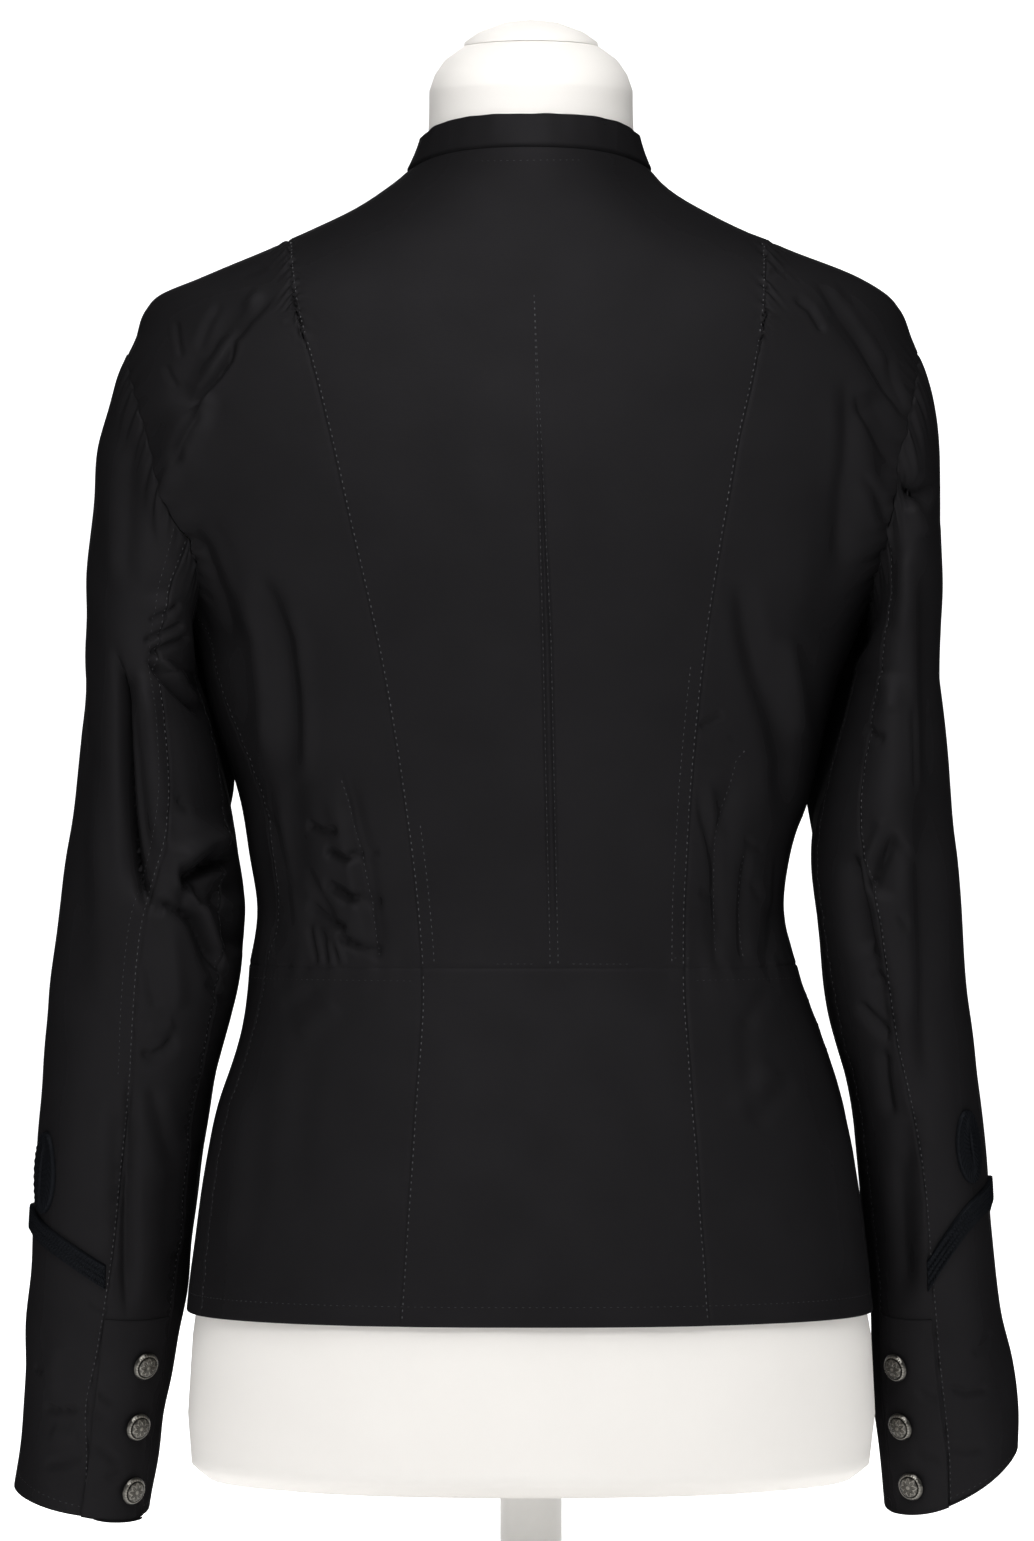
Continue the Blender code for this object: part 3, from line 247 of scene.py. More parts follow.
# Small creases of the back in pixels of the photograph: path, rise in millimetres (a trough is
# negative), reach in pixels to the left and to the right of a path that runs down, sharpness
BACK_CREASES = (
    (((252, 298), (230, 321), (217, 337), (202, 362)), -1.5, 5, 4, 1.4),
    (
        ((280, 289), (249, 320), (233, 340), (228, 359), (217, 375), (205, 387), (192, 403), (183, 418)),
        *(-2.4, 7, 4, 1.4),
    ),
    (((236, 338), (228, 359), (216, 376), (203, 390), (188, 410)), -2.6, 4, 3.4, 1.4),
    (((262, 290), (240, 312), (222, 330)), 1.2, 5, 5, 2.0),
    (((239, 276), (267, 268)), -0.8, 3, 3, 1.5),
    (((222, 300), (208, 322), (196, 352)), -1.0, 4, 4, 1.6),
    (((175, 318), (178, 340), (181, 359)), -0.9, 3, 3, 1.5),
    (((166, 364), (170, 376), (176, 388)), -0.7, 4, 3, 1.6),
    (((210, 390), (199, 421), (180, 459)), 2.2, 5, 9, 2.0),
    (((204, 410), (190, 440), (176, 468)), -1.6, 6, 4, 1.5),
    (((180, 459), (158, 503), (152, 534)), 1.6, 5, 8, 2.0),
    (((177, 537), (199, 550), (217, 596), (230, 643)), -2.6, 5, 9, 1.5),
    (((170, 560), (186, 590), (206, 640)), -1.6, 5, 5, 1.6),
    (((196, 520), (214, 560), (228, 600)), 1.2, 8, 8, 2.0),
    (((252, 566), (268, 604), (280, 640), (286, 689), (287, 730), (285, 790)), -5.0, 13, 12, 2.0),
    (((282, 600), (298, 640), (304, 700), (304, 780)), 1.3, 5, 8, 2.0),
    (((238, 590), (256, 640), (262, 700), (262, 760)), 1.8, 9, 8, 2.0),
    (((290, 770), (292, 830), (296, 900)), -2.6, 12, 14, 2.0),
    (((813, 278), (838, 306), (860, 337), (882, 375), (904, 412), (916, 424)), -3.0, 3.6, 6, 1.4),
    (((824, 280), (850, 308), (872, 340), (892, 374)), 1.2, 4, 5, 2.0),
    (((793, 296), (810, 309), (825, 334)), -1.7, 3.6, 4, 1.5),
    (((766, 278), (777, 271), (788, 268)), -0.8, 3, 3, 1.5),
    (((888, 353), (896, 380), (907, 412)), -0.9, 3, 3, 1.5),
    (((846, 371), (848, 430), (845, 500), (842, 581)), -2.4, 8, 9, 1.8),
    (((868, 400), (872, 460), (868, 530)), 1.2, 9, 8, 2.0),
    (((854, 390), (869, 421), (888, 453), (900, 468)), -1.8, 4, 5, 1.5),
    (((862, 470), (880, 500), (890, 530)), -1.2, 6, 5, 1.7),
    (((738, 566), (750, 640), (761, 682), (774, 720), (784, 760), (786, 830)), -4.2, 11, 11, 2.0),
    (((770, 660), (784, 720), (797, 770)), -1.6, 9, 9, 2.0),
    (((786, 630), (798, 690), (806, 745)), 2.4, 10, 9, 2.0),
    (((339, 765), (348, 804), (358, 847), (364, 882), (371, 913), (378, 968)), -1.2, 5, 2.5, 1.3),
    (((326, 790), (340, 830), (352, 880), (360, 930)), 0.9, 6, 6, 2.0),
    (((307, 923), (318, 966)), -0.9, 3, 2.5, 1.4),
    (((322, 930), (332, 968)), -0.8, 3, 2.5, 1.4),
    (((334, 945), (341, 968)), -0.7, 3, 2.5, 1.4),
    (((255, 771), (264, 860), (275, 960)), -1.2, 6, 4, 1.6),
    (((268, 800), (282, 870), (292, 940)), -1.0, 5, 4, 1.7),
    (((344, 800), (348, 880), (352, 960)), 2.2, 26, 16, 2.0),
    (((304, 824), (322, 831), (342, 829)), -3.4, 4.5, 4.5, 2.0),
    (((324, 850), (345, 858), (364, 852)), -4.6, 5, 4.5, 2.0),
    (((322, 882), (349, 897), (384, 903)), -6.4, 5.5, 5, 1.8),
    (((306, 903), (327, 920), (350, 930)), -5.0, 5, 4.5, 1.8),
    (((336, 936), (358, 946), (384, 951)), -5.0, 5, 4.5, 1.8),
    (((368, 853), (380, 852)), -1.4, 3, 3, 1.6),
    (((303, 868), (318, 892), (338, 924)), -1.8, 6, 5, 1.7),
    (((313, 922), (317, 944), (322, 968)), 1.4, 3.4, 3.4, 2.0),
    (((327, 940), (332, 968)), 1.2, 3, 3, 2.0),
    (((337, 940), (344, 966)), 1.2, 3, 3, 2.0),
    (((262, 812), (272, 832)), -1.2, 4, 4, 1.6),
    (((698, 727), (710, 721), (724, 713)), -2.4, 3.6, 3.4, 1.5),
    (((697, 791), (702, 817), (710, 846), (715, 870), (715, 895), (726, 946)), -1.5, 3, 5, 1.4),
    (((706, 780), (716, 815), (724, 850)), 0.9, 5, 5, 2.0),
    (((700, 890), (714, 896)), -1.2, 5, 5, 1.8),
    (((736, 772), (729, 803), (719, 827), (717, 858), (717, 934), (714, 972)), -0.9, 2.6, 4, 1.3),
    (((748, 840), (741, 910), (744, 972)), -1.0, 2.6, 4, 1.3),
    (((777, 850), (774, 912), (767, 972)), -1.0, 2.6, 4, 1.4),
    (((728, 735), (736, 738)), -0.7, 3, 3, 1.7),
    (((744, 838), (754, 846), (764, 850)), -0.9, 3, 3, 1.6),
    (((752, 880), (762, 902)), -0.8, 4, 4, 1.7),
)
# The narrow tuck down the centre back: its two stitched lines and the ridge between them
CENTRE_TUCK = (
    (((534, 293), (543, 640), (550, 956), (550, 968)), -0.55, 1.5, 1.5, 2.0),
    (((534, 293), (551, 640), (558, 956), (558, 968)), -0.55, 1.5, 1.5, 2.0),
    (((534, 293), (547, 640), (554, 956), (554, 968)), 0.60, 2.6, 2.6, 2.0),
)
PEPLUM_CREASES = (
    (((735, 1120), (752, 1096), (780, 1065)), 1.4, 12, 12, 2.0),
    (((752, 1130), (772, 1100), (796, 1075)), -1.2, 10, 10, 2.0),
    (((295, 1035), (318, 1018), (340, 1005)), 1.3, 10, 10, 2.0),
    (((280, 1010), (300, 1000), (320, 990)), -1.0, 7, 7, 2.0),
    (((770, 985), (755, 1010), (745, 1030)), -1.1, 7, 7, 1.8),
    (((744, 1000), (748, 1060), (752, 1130)), -0.9, 8, 8, 2.0),
    (((310, 1040), (300, 1120), (292, 1220)), -1.0, 14, 14, 2.0),
    (((246, 1080), (236, 1160), (226, 1260)), 1.4, 12, 12, 2.0),
    (((840, 1120), (850, 1200), (856, 1290)), 1.4, 12, 12, 2.0),
    (((480, 1000), (476, 1100), (470, 1240)), -0.6, 26, 26, 2.0),
    (((620, 1010), (630, 1120), (640, 1250)), -0.6, 26, 26, 2.0),
)
SLEEVE_CREASES = {
    "left": (
        (((132, 424), (129, 500), (127, 560), (130, 596)), -1.1, 8, 9, 2.0),
        (((112, 430), (110, 500), (110, 590)), 1.2, 9, 9, 2.0),
        (((142, 643), (160, 634), (182, 620)), -2.8, 3.2, 3.6, 1.4),
        (((147, 622), (164, 612), (180, 602)), -2.2, 3.2, 3.6, 1.5),
        (((148, 655), (166, 646), (186, 632)), -2.8, 3.2, 3.6, 1.4),
        (((146, 656), (162, 677), (181, 696), (206, 718)), -4.2, 3.2, 5.0, 1.4),
        (((156, 655), (178, 679), (202, 706)), 2.6, 4.2, 4.2, 2.0),
        (((160, 664), (184, 690), (206, 712)), 1.0, 3.0, 3.0, 2.0),
        (
            ((113, 640), (119, 704), (121, 746), (126, 794), (131, 832), (137, 870), (148, 918)),
            *(-8.0, 4, 5, 1.5),
        ),
        (((130, 680), (132, 746), (138, 820), (147, 884)), 4.0, 4, 6, 2.0),
        (((108, 660), (111, 760), (118, 850), (128, 900)), 2.2, 10, 8, 2.0),
        (((136, 664), (143, 740), (150, 800), (158, 862)), 3.4, 6, 14, 2.0),
        (((140, 880), (150, 904), (166, 912)), -3.2, 6, 6, 1.6),
        (((82, 640), (76, 760), (72, 880), (66, 1000)), -1.6, 12, 12, 2.0),
        (((148, 690), (158, 760), (168, 820)), 1.3, 9, 9, 2.0),
        (((148, 897), (176, 910), (200, 922), (214, 950), (229, 984)), -5.0, 4.5, 5.5, 1.4),
        (((184, 884), (206, 908), (220, 942), (231, 978)), 3.4, 5, 6, 2.0),
        (((216, 892), (232, 914), (241, 956)), -6.0, 9, 8, 2.0),
        (((206, 979), (219, 995), (229, 1005)), -1.8, 4, 4, 1.5),
        (((180, 900), (196, 930), (214, 974), (226, 998)), -1.6, 4, 4, 1.6),
        (((139, 1052), (152, 1056), (164, 1050), (177, 1037)), -2.6, 6, 4, 1.6),
        (((146, 1028), (160, 1030), (176, 1022)), 1.2, 6, 6, 2.0),
        (((146, 960), (151, 986), (158, 1011)), -1.4, 6, 6, 1.8),
        (((170, 925), (176, 970), (180, 1015)), 1.3, 8, 8, 2.0),
        (((178, 797), (190, 813)), -1.2, 4.5, 4.5, 1.6),
        (((182, 886), (206, 872), (238, 852)), -8.0, 5, 8, 1.5),
        (((176, 862), (200, 850), (228, 832)), 4.2, 12, 9, 2.0),
        (((196, 894), (216, 892), (246, 886)), -6.0, 11, 12, 2.0),
        (((128, 1056), (129, 1120), (126, 1200), (126, 1264), (127, 1330)), -1.8, 4, 7, 1.5),
        (((104, 1080), (106, 1160), (108, 1260)), 1.0, 11, 11, 2.0),
        (((150, 1080), (160, 1120), (172, 1170)), -1.2, 8, 8, 1.8),
        (((190, 1130), (184, 1190), (178, 1260)), 1.2, 8, 8, 2.0),
        (((88, 1301), (98, 1307), (108, 1312)), -0.8, 2.6, 2.6, 1.6),
        (((42, 1406), (56, 1410), (81, 1409)), -1.9, 4, 3.4, 1.4),
        (((44, 1464), (62, 1462), (84, 1456)), -1.4, 5, 4.5, 1.7),
        (((34, 1366), (43, 1373)), -1.2, 3.6, 3.6, 1.6),
        (((98, 1392), (106, 1398), (113, 1403)), -1.6, 3.4, 3.4, 1.5),
        (((94, 1412), (102, 1416)), -1.1, 3, 3, 1.6),
        (((94, 1440), (104, 1450), (113, 1457), (116, 1465)), -1.3, 4.5, 4, 1.6),
        (((104, 1478), (112, 1475), (122, 1470)), -1.5, 4, 4, 1.6),
        (((50, 1430), (62, 1436), (80, 1434)), 1.1, 9, 9, 2.0),
        (((58, 1340), (52, 1368), (54, 1392)), 0.8, 9, 9, 2.0),
    ),
    "right": (
        (((890, 480), (910, 490), (932, 496)), -4.6, 5, 4, 1.4),
        (((913, 505), (921, 520), (928, 536)), 1.6, 8, 8, 2.0),
        (((904, 550), (906, 600), (902, 640)), 1.6, 9, 9, 2.0),
        (((926, 560), (930, 620), (928, 700), (930, 800)), -3.0, 8, 9, 2.0),
        (((866, 726), (876, 735), (888, 740)), -2.4, 6, 4, 1.5),
        (((880, 670), (890, 690), (892, 715)), 1.8, 9, 9, 2.0),
        (((912, 701), (913, 750), (914, 795)), -1.0, 3, 3, 1.4),
        (((897, 828), (886, 857), (872, 884), (865, 893)), -2.8, 4, 5, 1.3),
        (((886, 818), (874, 846), (864, 868)), 1.8, 6, 6, 2.0),
        (((852, 850), (858, 912), (869, 960)), -6.0, 12, 4, 1.7),
        (((866, 972), (877, 980), (888, 983)), -2.0, 5, 4.5, 1.6),
        (((855, 1001), (868, 1018), (885, 1034), (886, 1044)), -2.6, 5, 4, 1.4),
        (((884, 1046), (886, 1080), (892, 1120)), -2.0, 8, 4, 1.6),
        (((899, 912), (904, 922), (909, 931)), -1.3, 4.5, 4.5, 1.7),
        (((922, 820), (924, 920), (926, 1030), (930, 1110)), -1.8, 9, 9, 2.0),
        (((946, 830), (950, 930), (954, 1030)), 1.0, 8, 8, 2.0),
        (((846, 1050), (852, 1090), (862, 1140)), -1.2, 6, 6, 1.8),
        (((900, 1000), (904, 1060), (908, 1120)), 1.2, 9, 9, 2.0),
        (((896, 1150), (900, 1220), (904, 1300)), -1.2, 8, 8, 1.9),
        (((922, 1130), (926, 1200), (924, 1290)), 0.9, 9, 9, 2.0),
        (((948, 1386), (966, 1392), (990, 1388)), -1.5, 4, 3.6, 1.5),
        (((944, 1446), (962, 1450), (986, 1446)), -1.2, 4.5, 4.5, 1.7),
        (((918, 1390), (926, 1396), (938, 1400)), -1.3, 3.6, 3.6, 1.6),
        (((914, 1452), (926, 1460), (940, 1462)), -1.2, 4, 4, 1.6),
        (((992, 1330), (984, 1346), (972, 1356)), -0.9, 4, 4, 1.7),
    ),
}
# Creases of the hidden front, seen from the front: path as points (x, z) in metres, then as above
FRONT_CREASES = (
    (((0.128, 0.690), (0.148, 0.662), (0.166, 0.628)), -1.8, 9, 8, 1.5),
    (((0.150, 0.655), (0.164, 0.628), (0.178, 0.600)), -1.6, 8, 8, 1.6),
    (((0.158, 0.596), (0.140, 0.584), (0.118, 0.578)), -1.6, 9, 9, 1.7),
    (((0.160, 0.560), (0.148, 0.520), (0.138, 0.470)), -2.0, 16, 16, 2.0),
    (((0.124, 0.470), (0.112, 0.420), (0.104, 0.352)), -1.6, 10, 7, 1.5),
    (((0.100, 0.440), (0.090, 0.400), (0.084, 0.352)), -1.3, 9, 7, 1.5),
    (((0.112, 0.404), (0.098, 0.398)), -1.3, 6, 6, 1.6),
    (((0.104, 0.380), (0.088, 0.376)), -1.2, 6, 6, 1.6),
    (((0.046, 0.470), (0.050, 0.410), (0.052, 0.352)), -0.9, 9, 9, 1.8),
    (((0.060, 0.330), (0.078, 0.270), (0.088, 0.200)), -1.2, 22, 22, 2.0),
    (((-0.130, 0.694), (-0.150, 0.664), (-0.168, 0.622)), -2.0, 8, 9, 1.5),
    (((-0.152, 0.650), (-0.168, 0.616)), -1.4, 8, 8, 1.6),
    (((-0.156, 0.600), (-0.134, 0.592), (-0.108, 0.588)), -1.4, 9, 9, 1.7),
    (((-0.158, 0.556), (-0.144, 0.514), (-0.132, 0.462)), -1.9, 16, 16, 2.0),
    (((-0.116, 0.458), (-0.106, 0.410), (-0.100, 0.352)), -1.5, 7, 10, 1.5),
    (((-0.092, 0.430), (-0.084, 0.392), (-0.080, 0.352)), -1.2, 7, 9, 1.5),
    (((-0.106, 0.412), (-0.090, 0.404)), -1.2, 6, 6, 1.6),
    (((-0.102, 0.388), (-0.088, 0.380)), -1.1, 6, 6, 1.6),
    (((-0.048, 0.460), (-0.052, 0.400), (-0.054, 0.352)), -0.9, 9, 9, 1.8),
    (((-0.066, 0.330), (-0.084, 0.270), (-0.096, 0.196)), -1.2, 22, 22, 2.0),
)
SLEEVE_FRONT_CREASES = {
    "left": (
        (((0.190, 0.610), (0.206, 0.560), (0.212, 0.500)), -2.2, 14, 12, 1.8),
        (((0.176, 0.560), (0.190, 0.530), (0.208, 0.505)), -2.0, 9, 8, 1.6),
        (((0.162, 0.452), (0.184, 0.438), (0.214, 0.436)), -2.6, 9, 9, 1.5),
        (((0.158, 0.430), (0.186, 0.412), (0.222, 0.412)), -3.2, 9, 9, 1.4),
        (((0.154, 0.404), (0.182, 0.388), (0.216, 0.392)), -2.8, 9, 9, 1.5),
        (((0.160, 0.380), (0.190, 0.360), (0.208, 0.362)), -1.8, 8, 8, 1.6),
        (((0.232, 0.480), (0.228, 0.400), (0.226, 0.300)), -1.8, 16, 16, 2.0),
        (((0.196, 0.330), (0.206, 0.270), (0.212, 0.200)), -1.6, 16, 16, 2.0),
        (((0.186, 0.190), (0.212, 0.182), (0.240, 0.186)), -1.4, 8, 8, 1.7),
        (((0.206, 0.110), (0.230, 0.104), (0.254, 0.110)), -1.3, 8, 8, 1.7),
    ),
    "right": (
        (((-0.186, 0.606), (-0.202, 0.556), (-0.206, 0.500)), -2.2, 12, 14, 1.8),
        (((-0.174, 0.552), (-0.188, 0.524), (-0.204, 0.500)), -1.8, 8, 9, 1.6),
        (((-0.156, 0.446), (-0.176, 0.430), (-0.200, 0.430)), -2.6, 9, 9, 1.5),
        (((-0.152, 0.420), (-0.176, 0.402), (-0.206, 0.404)), -3.0, 9, 9, 1.4),
        (((-0.154, 0.392), (-0.178, 0.374), (-0.200, 0.378)), -2.4, 9, 9, 1.5),
        (((-0.210, 0.480), (-0.208, 0.400), (-0.206, 0.300)), -1.8, 16, 16, 2.0),
        (((-0.182, 0.320), (-0.192, 0.260), (-0.198, 0.190)), -1.6, 16, 16, 2.0),
        (((-0.190, 0.176), (-0.214, 0.170), (-0.236, 0.176)), -1.3, 8, 8, 1.7),
        (((-0.196, 0.104), (-0.220, 0.098), (-0.242, 0.106)), -1.3, 8, 8, 1.7),
    ),
}
# Which faces take the creases of the back view or the front view: how fast they fade as the face
# turns away, and their share where it faces sideways
FACING_TURN = 4.0
FACING_START = 0.3
SLEEVE_FACING_START = 0.5
CREASE_FADE = 0.20
LIP_PLACE = 1.9
LIP_SHARPNESS = 1.6
CREASE_LIP = 0.20
LIP_ROOM = 1.2
FORM_ROOM = 0.0006
# Shares of a sleeve's cap below the armhole over which its surface takes its own form
JOIN = 0.3
CAP_BACK_RUN = 0.12
CAP_RUN = 0.2
CAP_PUCKER_RUN = 0.02

# Seams: dip of the cloth at a seam, puckers beside it, and the stitches
SEAM_DIP = 0.00045
FAINT_DIP = 0.00015
WAIST_DIP = 0.00055
SEAM_WIDTH = 0.0008
TURN_IN = 0.0012
FLARE = 0.0006
EDGE_STEPS = (0.0, 0.0004, 0.0010, 0.0018, 0.0028)
STITCH_PITCH = 0.0034
STITCH_LENGTH = 0.0014
STITCH_RADIUS = 0.00024
FAINT = 0.00015

# Heights of the stitch lines along seams, with their counts of samples: the back shoulder seams
# above and below the waist, then the side seams
STITCH_RUNS = (
    (WAIST + 0.002, PRINCESS_TOP - 0.004, 500),
    (HEM + 0.004, WAIST - 0.002, 220),
    (WAIST + 0.003, UNDERARM - 0.004, 240),
    (HEM + 0.004, WAIST - 0.003, 200),
)
# Stitch lines: distances from their seams and edges, in metres or in radians round a sleeve
NEAR_SEAM = 0.0014
SECOND_OFFSET = 0.0072
SIDE_OFFSET = 0.0015
WAIST_OFFSET = 0.0065
HEM_OFFSET = 0.010
CUFF_OFFSET = 0.009
FRONT_STOP = 3.05
SLEEVE_NEAR_SEAM = 0.03
SLEEVE_SECOND_OFFSET = 0.16
SLEEVE_FIRST_SIZE = 1.2
SLEEVE_SECOND_SIZE = 0.6
SLEEVE_STITCH_RUN = (0.03, 1.985, 700)
SECOND_PHASE = 0.4
WAIST_START = 0.004
WAIST_POINTS = 300
HEM_POINTS = 900
CUFF_POINTS = 400
SECOND_LINE = {"left": 0.425, "right": 0.505}
SECOND_LINE_STOP = 1.45
# Puckers beside seams: size, wavelength along the seam and reach away from it, in metres or along
# a turn, and the seeds of their unevenness on the left and on the right
PUCKERS = {
    "side_seam": (0.00035, 0.010, 0.005, (13, 14)),
    "armhole": (0.0008, 0.17, 0.007, (15, 16)),
    "waist": (0.0005, 0.10, 0.008, (17, 17)),
    "cap": (0.0011, 0.15, 0.07, (31, 32)),
    "back_seam": (0.00045, 0.011, 0.005, (33, 38)),
    "under_seam": (0.00045, 0.011, 0.005, (34, 39)),
}
# The same of the back shoulder seams: a value low down, and what is added towards the shoulder
PRINCESS_PUCKERS = {
    "size": (0.00018, 0.00085),
    "slant": (0.2, 0.9),
    "wave": (0.0085, -0.0025),
    "reach": (0.0032, 0.0012),
}
PRINCESS_PUCKER_SEEDS = {"left": 11, "right": 12}
PRINCESS_PUCKER_RISE = (0.655, 0.03)
WAIST_MIDDLE_SHARE = 0.25
# Where puckers set in: the distance from the middle and the run of their rise, then heights
PUCKER_SIDE = {"side_seam": (0.09, 0.02), "armhole": (0.11, 0.03), "waist": (0.06, 0.03)}
PUCKER_FADE = 0.02
PUCKER_ARM = 0.50
PUCKER_TOP = PRINCESS_TOP + 0.004
# Soft swell of all the cloth: depth, wavelength and seed, of the body and of each sleeve
BODY_SWELL = (0.00035, 0.055, 21)
SLEEVE_SWELL = {"left": (0.0006, 0.045, 22), "right": (0.0006, 0.045, 23)}

SHORT_DASHES = (
    ((495, 964), (536, 964)),
    ((571, 964), (632, 964)),
    ((673, 958), (692, 958)),
    ((474, 161), (580, 160)),
)
TUCK_STITCHES = (
    ((745, 750), (736, 760), (731, 787), (723, 811), (717, 835), (717, 955)),
    ((744, 855), (740, 898), (745, 960)),
    ((341, 780), (360, 851), (370, 902), (379, 960)),
)

# Cuff trimmings, vents and buttons
BRAID = {
    "left": {"angle": 18, "point": 0.2178, "drop": 0.0178, "bow": 0.0035},
    "right": {"angle": 27, "point": 0.2345, "drop": 0.0330, "bow": 0.0110},
}
BRAID_WIDTH = 0.0120
BRAID_THICKNESS = 0.0014
BRAID_SPREAD = 0.058
BRAID_GAP = 0.0006
BRAID_GRID = (27, 361)
BRAID_RIB = 0.0019
BRAID_RIB_HEIGHT = 0.00034
BRAID_ZIGZAG = 0.9
BRAID_RIB_STOP = 0.84
BRAID_RIB_FADE = 0.06
BRAID_RIM = (0.80, 0.12)
BRAID_RIM_HEIGHT = 0.00025
BRAID_EDGE = 0.94
BRAID_END = 0.985
BRAID_EDGE_DROP = 0.0010
BRAID_END_DROP = 0.0008
LOOP = {
    "left": {"angle": 32, "foot": 0.2262, "top": 0.2675},
    "right": {"angle": 48, "foot": 0.2465, "top": 0.2830},
}
LOOP_WIDTH = 0.0240
LOOP_SLIT = 0.0018
LOOP_END = 0.0085
LOOP_GRID = (15, 181)
LOOP_RIBS = 32
LOOP_RIB_HEIGHT = 0.00018
LOOP_RIB_SLANT = 2.2
LOOP_RIM_HEIGHT = 0.00028
LOOP_RIM_WIDTH = 0.10
LOOP_EDGE = 0.04
LOOP_EDGE_DROP = 0.0009
VENT = {"left": (92, 146), "right": (96, 147)}
VENT_TOP = 0.1775
VENT_HEM_RISE = 0.003
VENT_LIFT = 0.0018
VENT_TAPER = 0.0008
VENT_TAPER_RUN = 0.15
VENT_WALL = 0.0009
BUTTON_RADIUS = 0.0075
BUTTON_TOP = 0.0047
BUTTON_RIM = 0.0016
BUTTON_SIDES = 96
BUTTON_ROUND = 0.012
BUTTON_SPIN = {"cuff": 0.4, "front": 0.3}
BUTTON_RINGS = (
    *(0, 0.10, 0.17, 0.24, 0.31, 0.38, 0.45, 0.52, 0.59, 0.66),
    *(0.71, 0.75, 0.79, 0.83, 0.87, 0.91, 0.95, 0.985, 1.0),
)
BUTTON_BACK = ((0.0068, 0.0010), (0.0055, 0.0003), (0.0, 0.0003))
DOME_CURVE = 1.25
# The button's face, in shares of its radius and heights in metres: a boss, petals with veins, a
# groove and a rope of strands
FACE_FADE = 0.06
FIELD_STOP = 0.70
BOSS_STOP = 0.15
BOSS_HEIGHT = 0.00035
PETALS = 8
PETAL_FOOT = 0.42
PETAL_REACH = 0.24
PETAL_WIDTH = 0.05
PETAL_HEIGHT = 0.00034
VEIN_STOP = 0.62
VEIN_FADE = 0.2
VEIN_WIDTH = 0.35
VEIN_HEIGHT = 0.00020
GROOVE_PLACE = 0.735
GROOVE_WIDTH = 0.03
GROOVE_DEPTH = 0.00035
ROPE_PLACE = 0.83
ROPE_WIDTH = 0.055
ROPE_HEIGHT = 0.00030
ROPE_TURNS = 26
ROPE_SLANT = 14
STRAND_HEIGHT = 0.00020
WORN_BASE = 0.26
WORN_HEIGHT = 0.00050
CUFF_BUTTONS = {
    "left": ((125, 0.1550), (126.5, 0.1205), (129.5, 0.0865)),
    "right": ((127.5, 0.1535), (128.5, 0.1205), (124, 0.0858)),
}
SPECK_SHARE = 0.5
FRONT_BUTTON_COUNT = 6
FRONT_BUTTON_TOP = 0.680
FRONT_BUTTON_SPACING = 0.078

# Dress form and stand
FORM_SHOULDER = 0.184
FORM_SHOULDER_TURN = 24
FORM_FOOT = 0.085
FORM_HIP_ROWS = (
    (0.0850, 0.150, 0.149, 0.096, 0.092, 2.3),
    (0.0872, 0.167, 0.166, 0.110, 0.106, 2.3),
    (0.0940, 0.1755, 0.1750, 0.118, 0.114, 2.3),
    (0.1200, 0.1775, 0.1780, 0.120, 0.116, 2.3),
    (0.1600, 0.1750, 0.1760, 0.118, 0.114, 2.3),
)
NECK_TOP_ROWS = ((0.812, 0.0500), (0.8195, 0.0450), (0.8262, 0.0360))
NECK_TOP_RINGS = 8
# Radius of the ring that closes a turned piece on its axis
TIP = 0.0001
CAP_ROWS = ((0.8266, 0.0350), (0.8290, 0.0345), (0.8340, 0.0275), (0.8388, 0.0150), (0.841, TIP))
FORM_BODY_RUNS = ((0.200, 0.660, 60), (0.664, 0.804, 60))
FORM_FOOT_INNER = (0.10, 0.10, 0.07, 0.07, 2.1)
FORM_HIP_HEIGHTS = (
    *(0.0850, 0.0853, 0.0860, 0.0872, 0.0890, 0.0915, 0.0945),
    *(0.099, 0.105, 0.112, 0.120, 0.130, 0.140, 0.150, 0.160),
)
FORM_SIDES = 112
POLE_RADIUS = 0.016
BASE_RADIUS = 0.150
BASE_THICKNESS = 0.012
BASE_BEVEL = 0.003
BASE_FOOT_BEVEL = 0.001

# Angle in degrees past which two faces of cloth meet in a sharp edge
SHARP_CLOTH = 50

# The floor: half width, how it widens with distance, where it ends, and how it bends up behind
STAGE_SIDE = 1.35
STAGE_SPREAD = 0.36
STAGE_NEAR = 5.0
STAGE_DEPTH = 9.2
STAGE_BEND = 2.0
STAGE_TOP = 10.5
STAGE_DROP = 0.0005
FLOOR_GLOW = {"From Min": -0.45, "From Max": -0.15, "To Min": 0.98, "To Max": 0.66}
# Each light's name, place, aim, power and size
LIGHTS = (
    ("key", (0.10, 1.25, 1.25), (0.0, 0.0, 0.58), 9.6, 0.6),
    ("left", (2.6, 1.5, 1.3), (0.0, 0.0, 0.50), 6.0, 1.4),
    ("right", (-2.3, 1.5, 1.9), (0.0, 0.0, 0.62), 7.0, 1.2),
    ("top", (0.0, 0.8, 2.5), (0.0, 0.0, 0.65), 27.0, 1.2),
    ("front", (0.6, -2.6, 1.8), (0.0, 0.0, 0.5), 30.0, 1.6),
)
WORLD_STRENGTH = 0.12

SIGN = {"left": 1.0, "right": -1.0}


def columns(names, rows):
    """Turns a table's rows into one array for each named column."""
    data = np.array(rows, float)
    return {name: data[:, i] for i, name in enumerate(names.split())}


BODY = columns(BODY_COLUMNS, BODY_ROWS)
PRINCESS = columns(PRINCESS_COLUMNS, PRINCESS_ROWS)
SIDE_SEAM = columns(SIDE_SEAM_COLUMNS, SIDE_SEAM_ROWS)
SLEEVES = {side: columns(SLEEVE_COLUMNS, rows) for side, rows in SLEEVE_ROWS.items()}


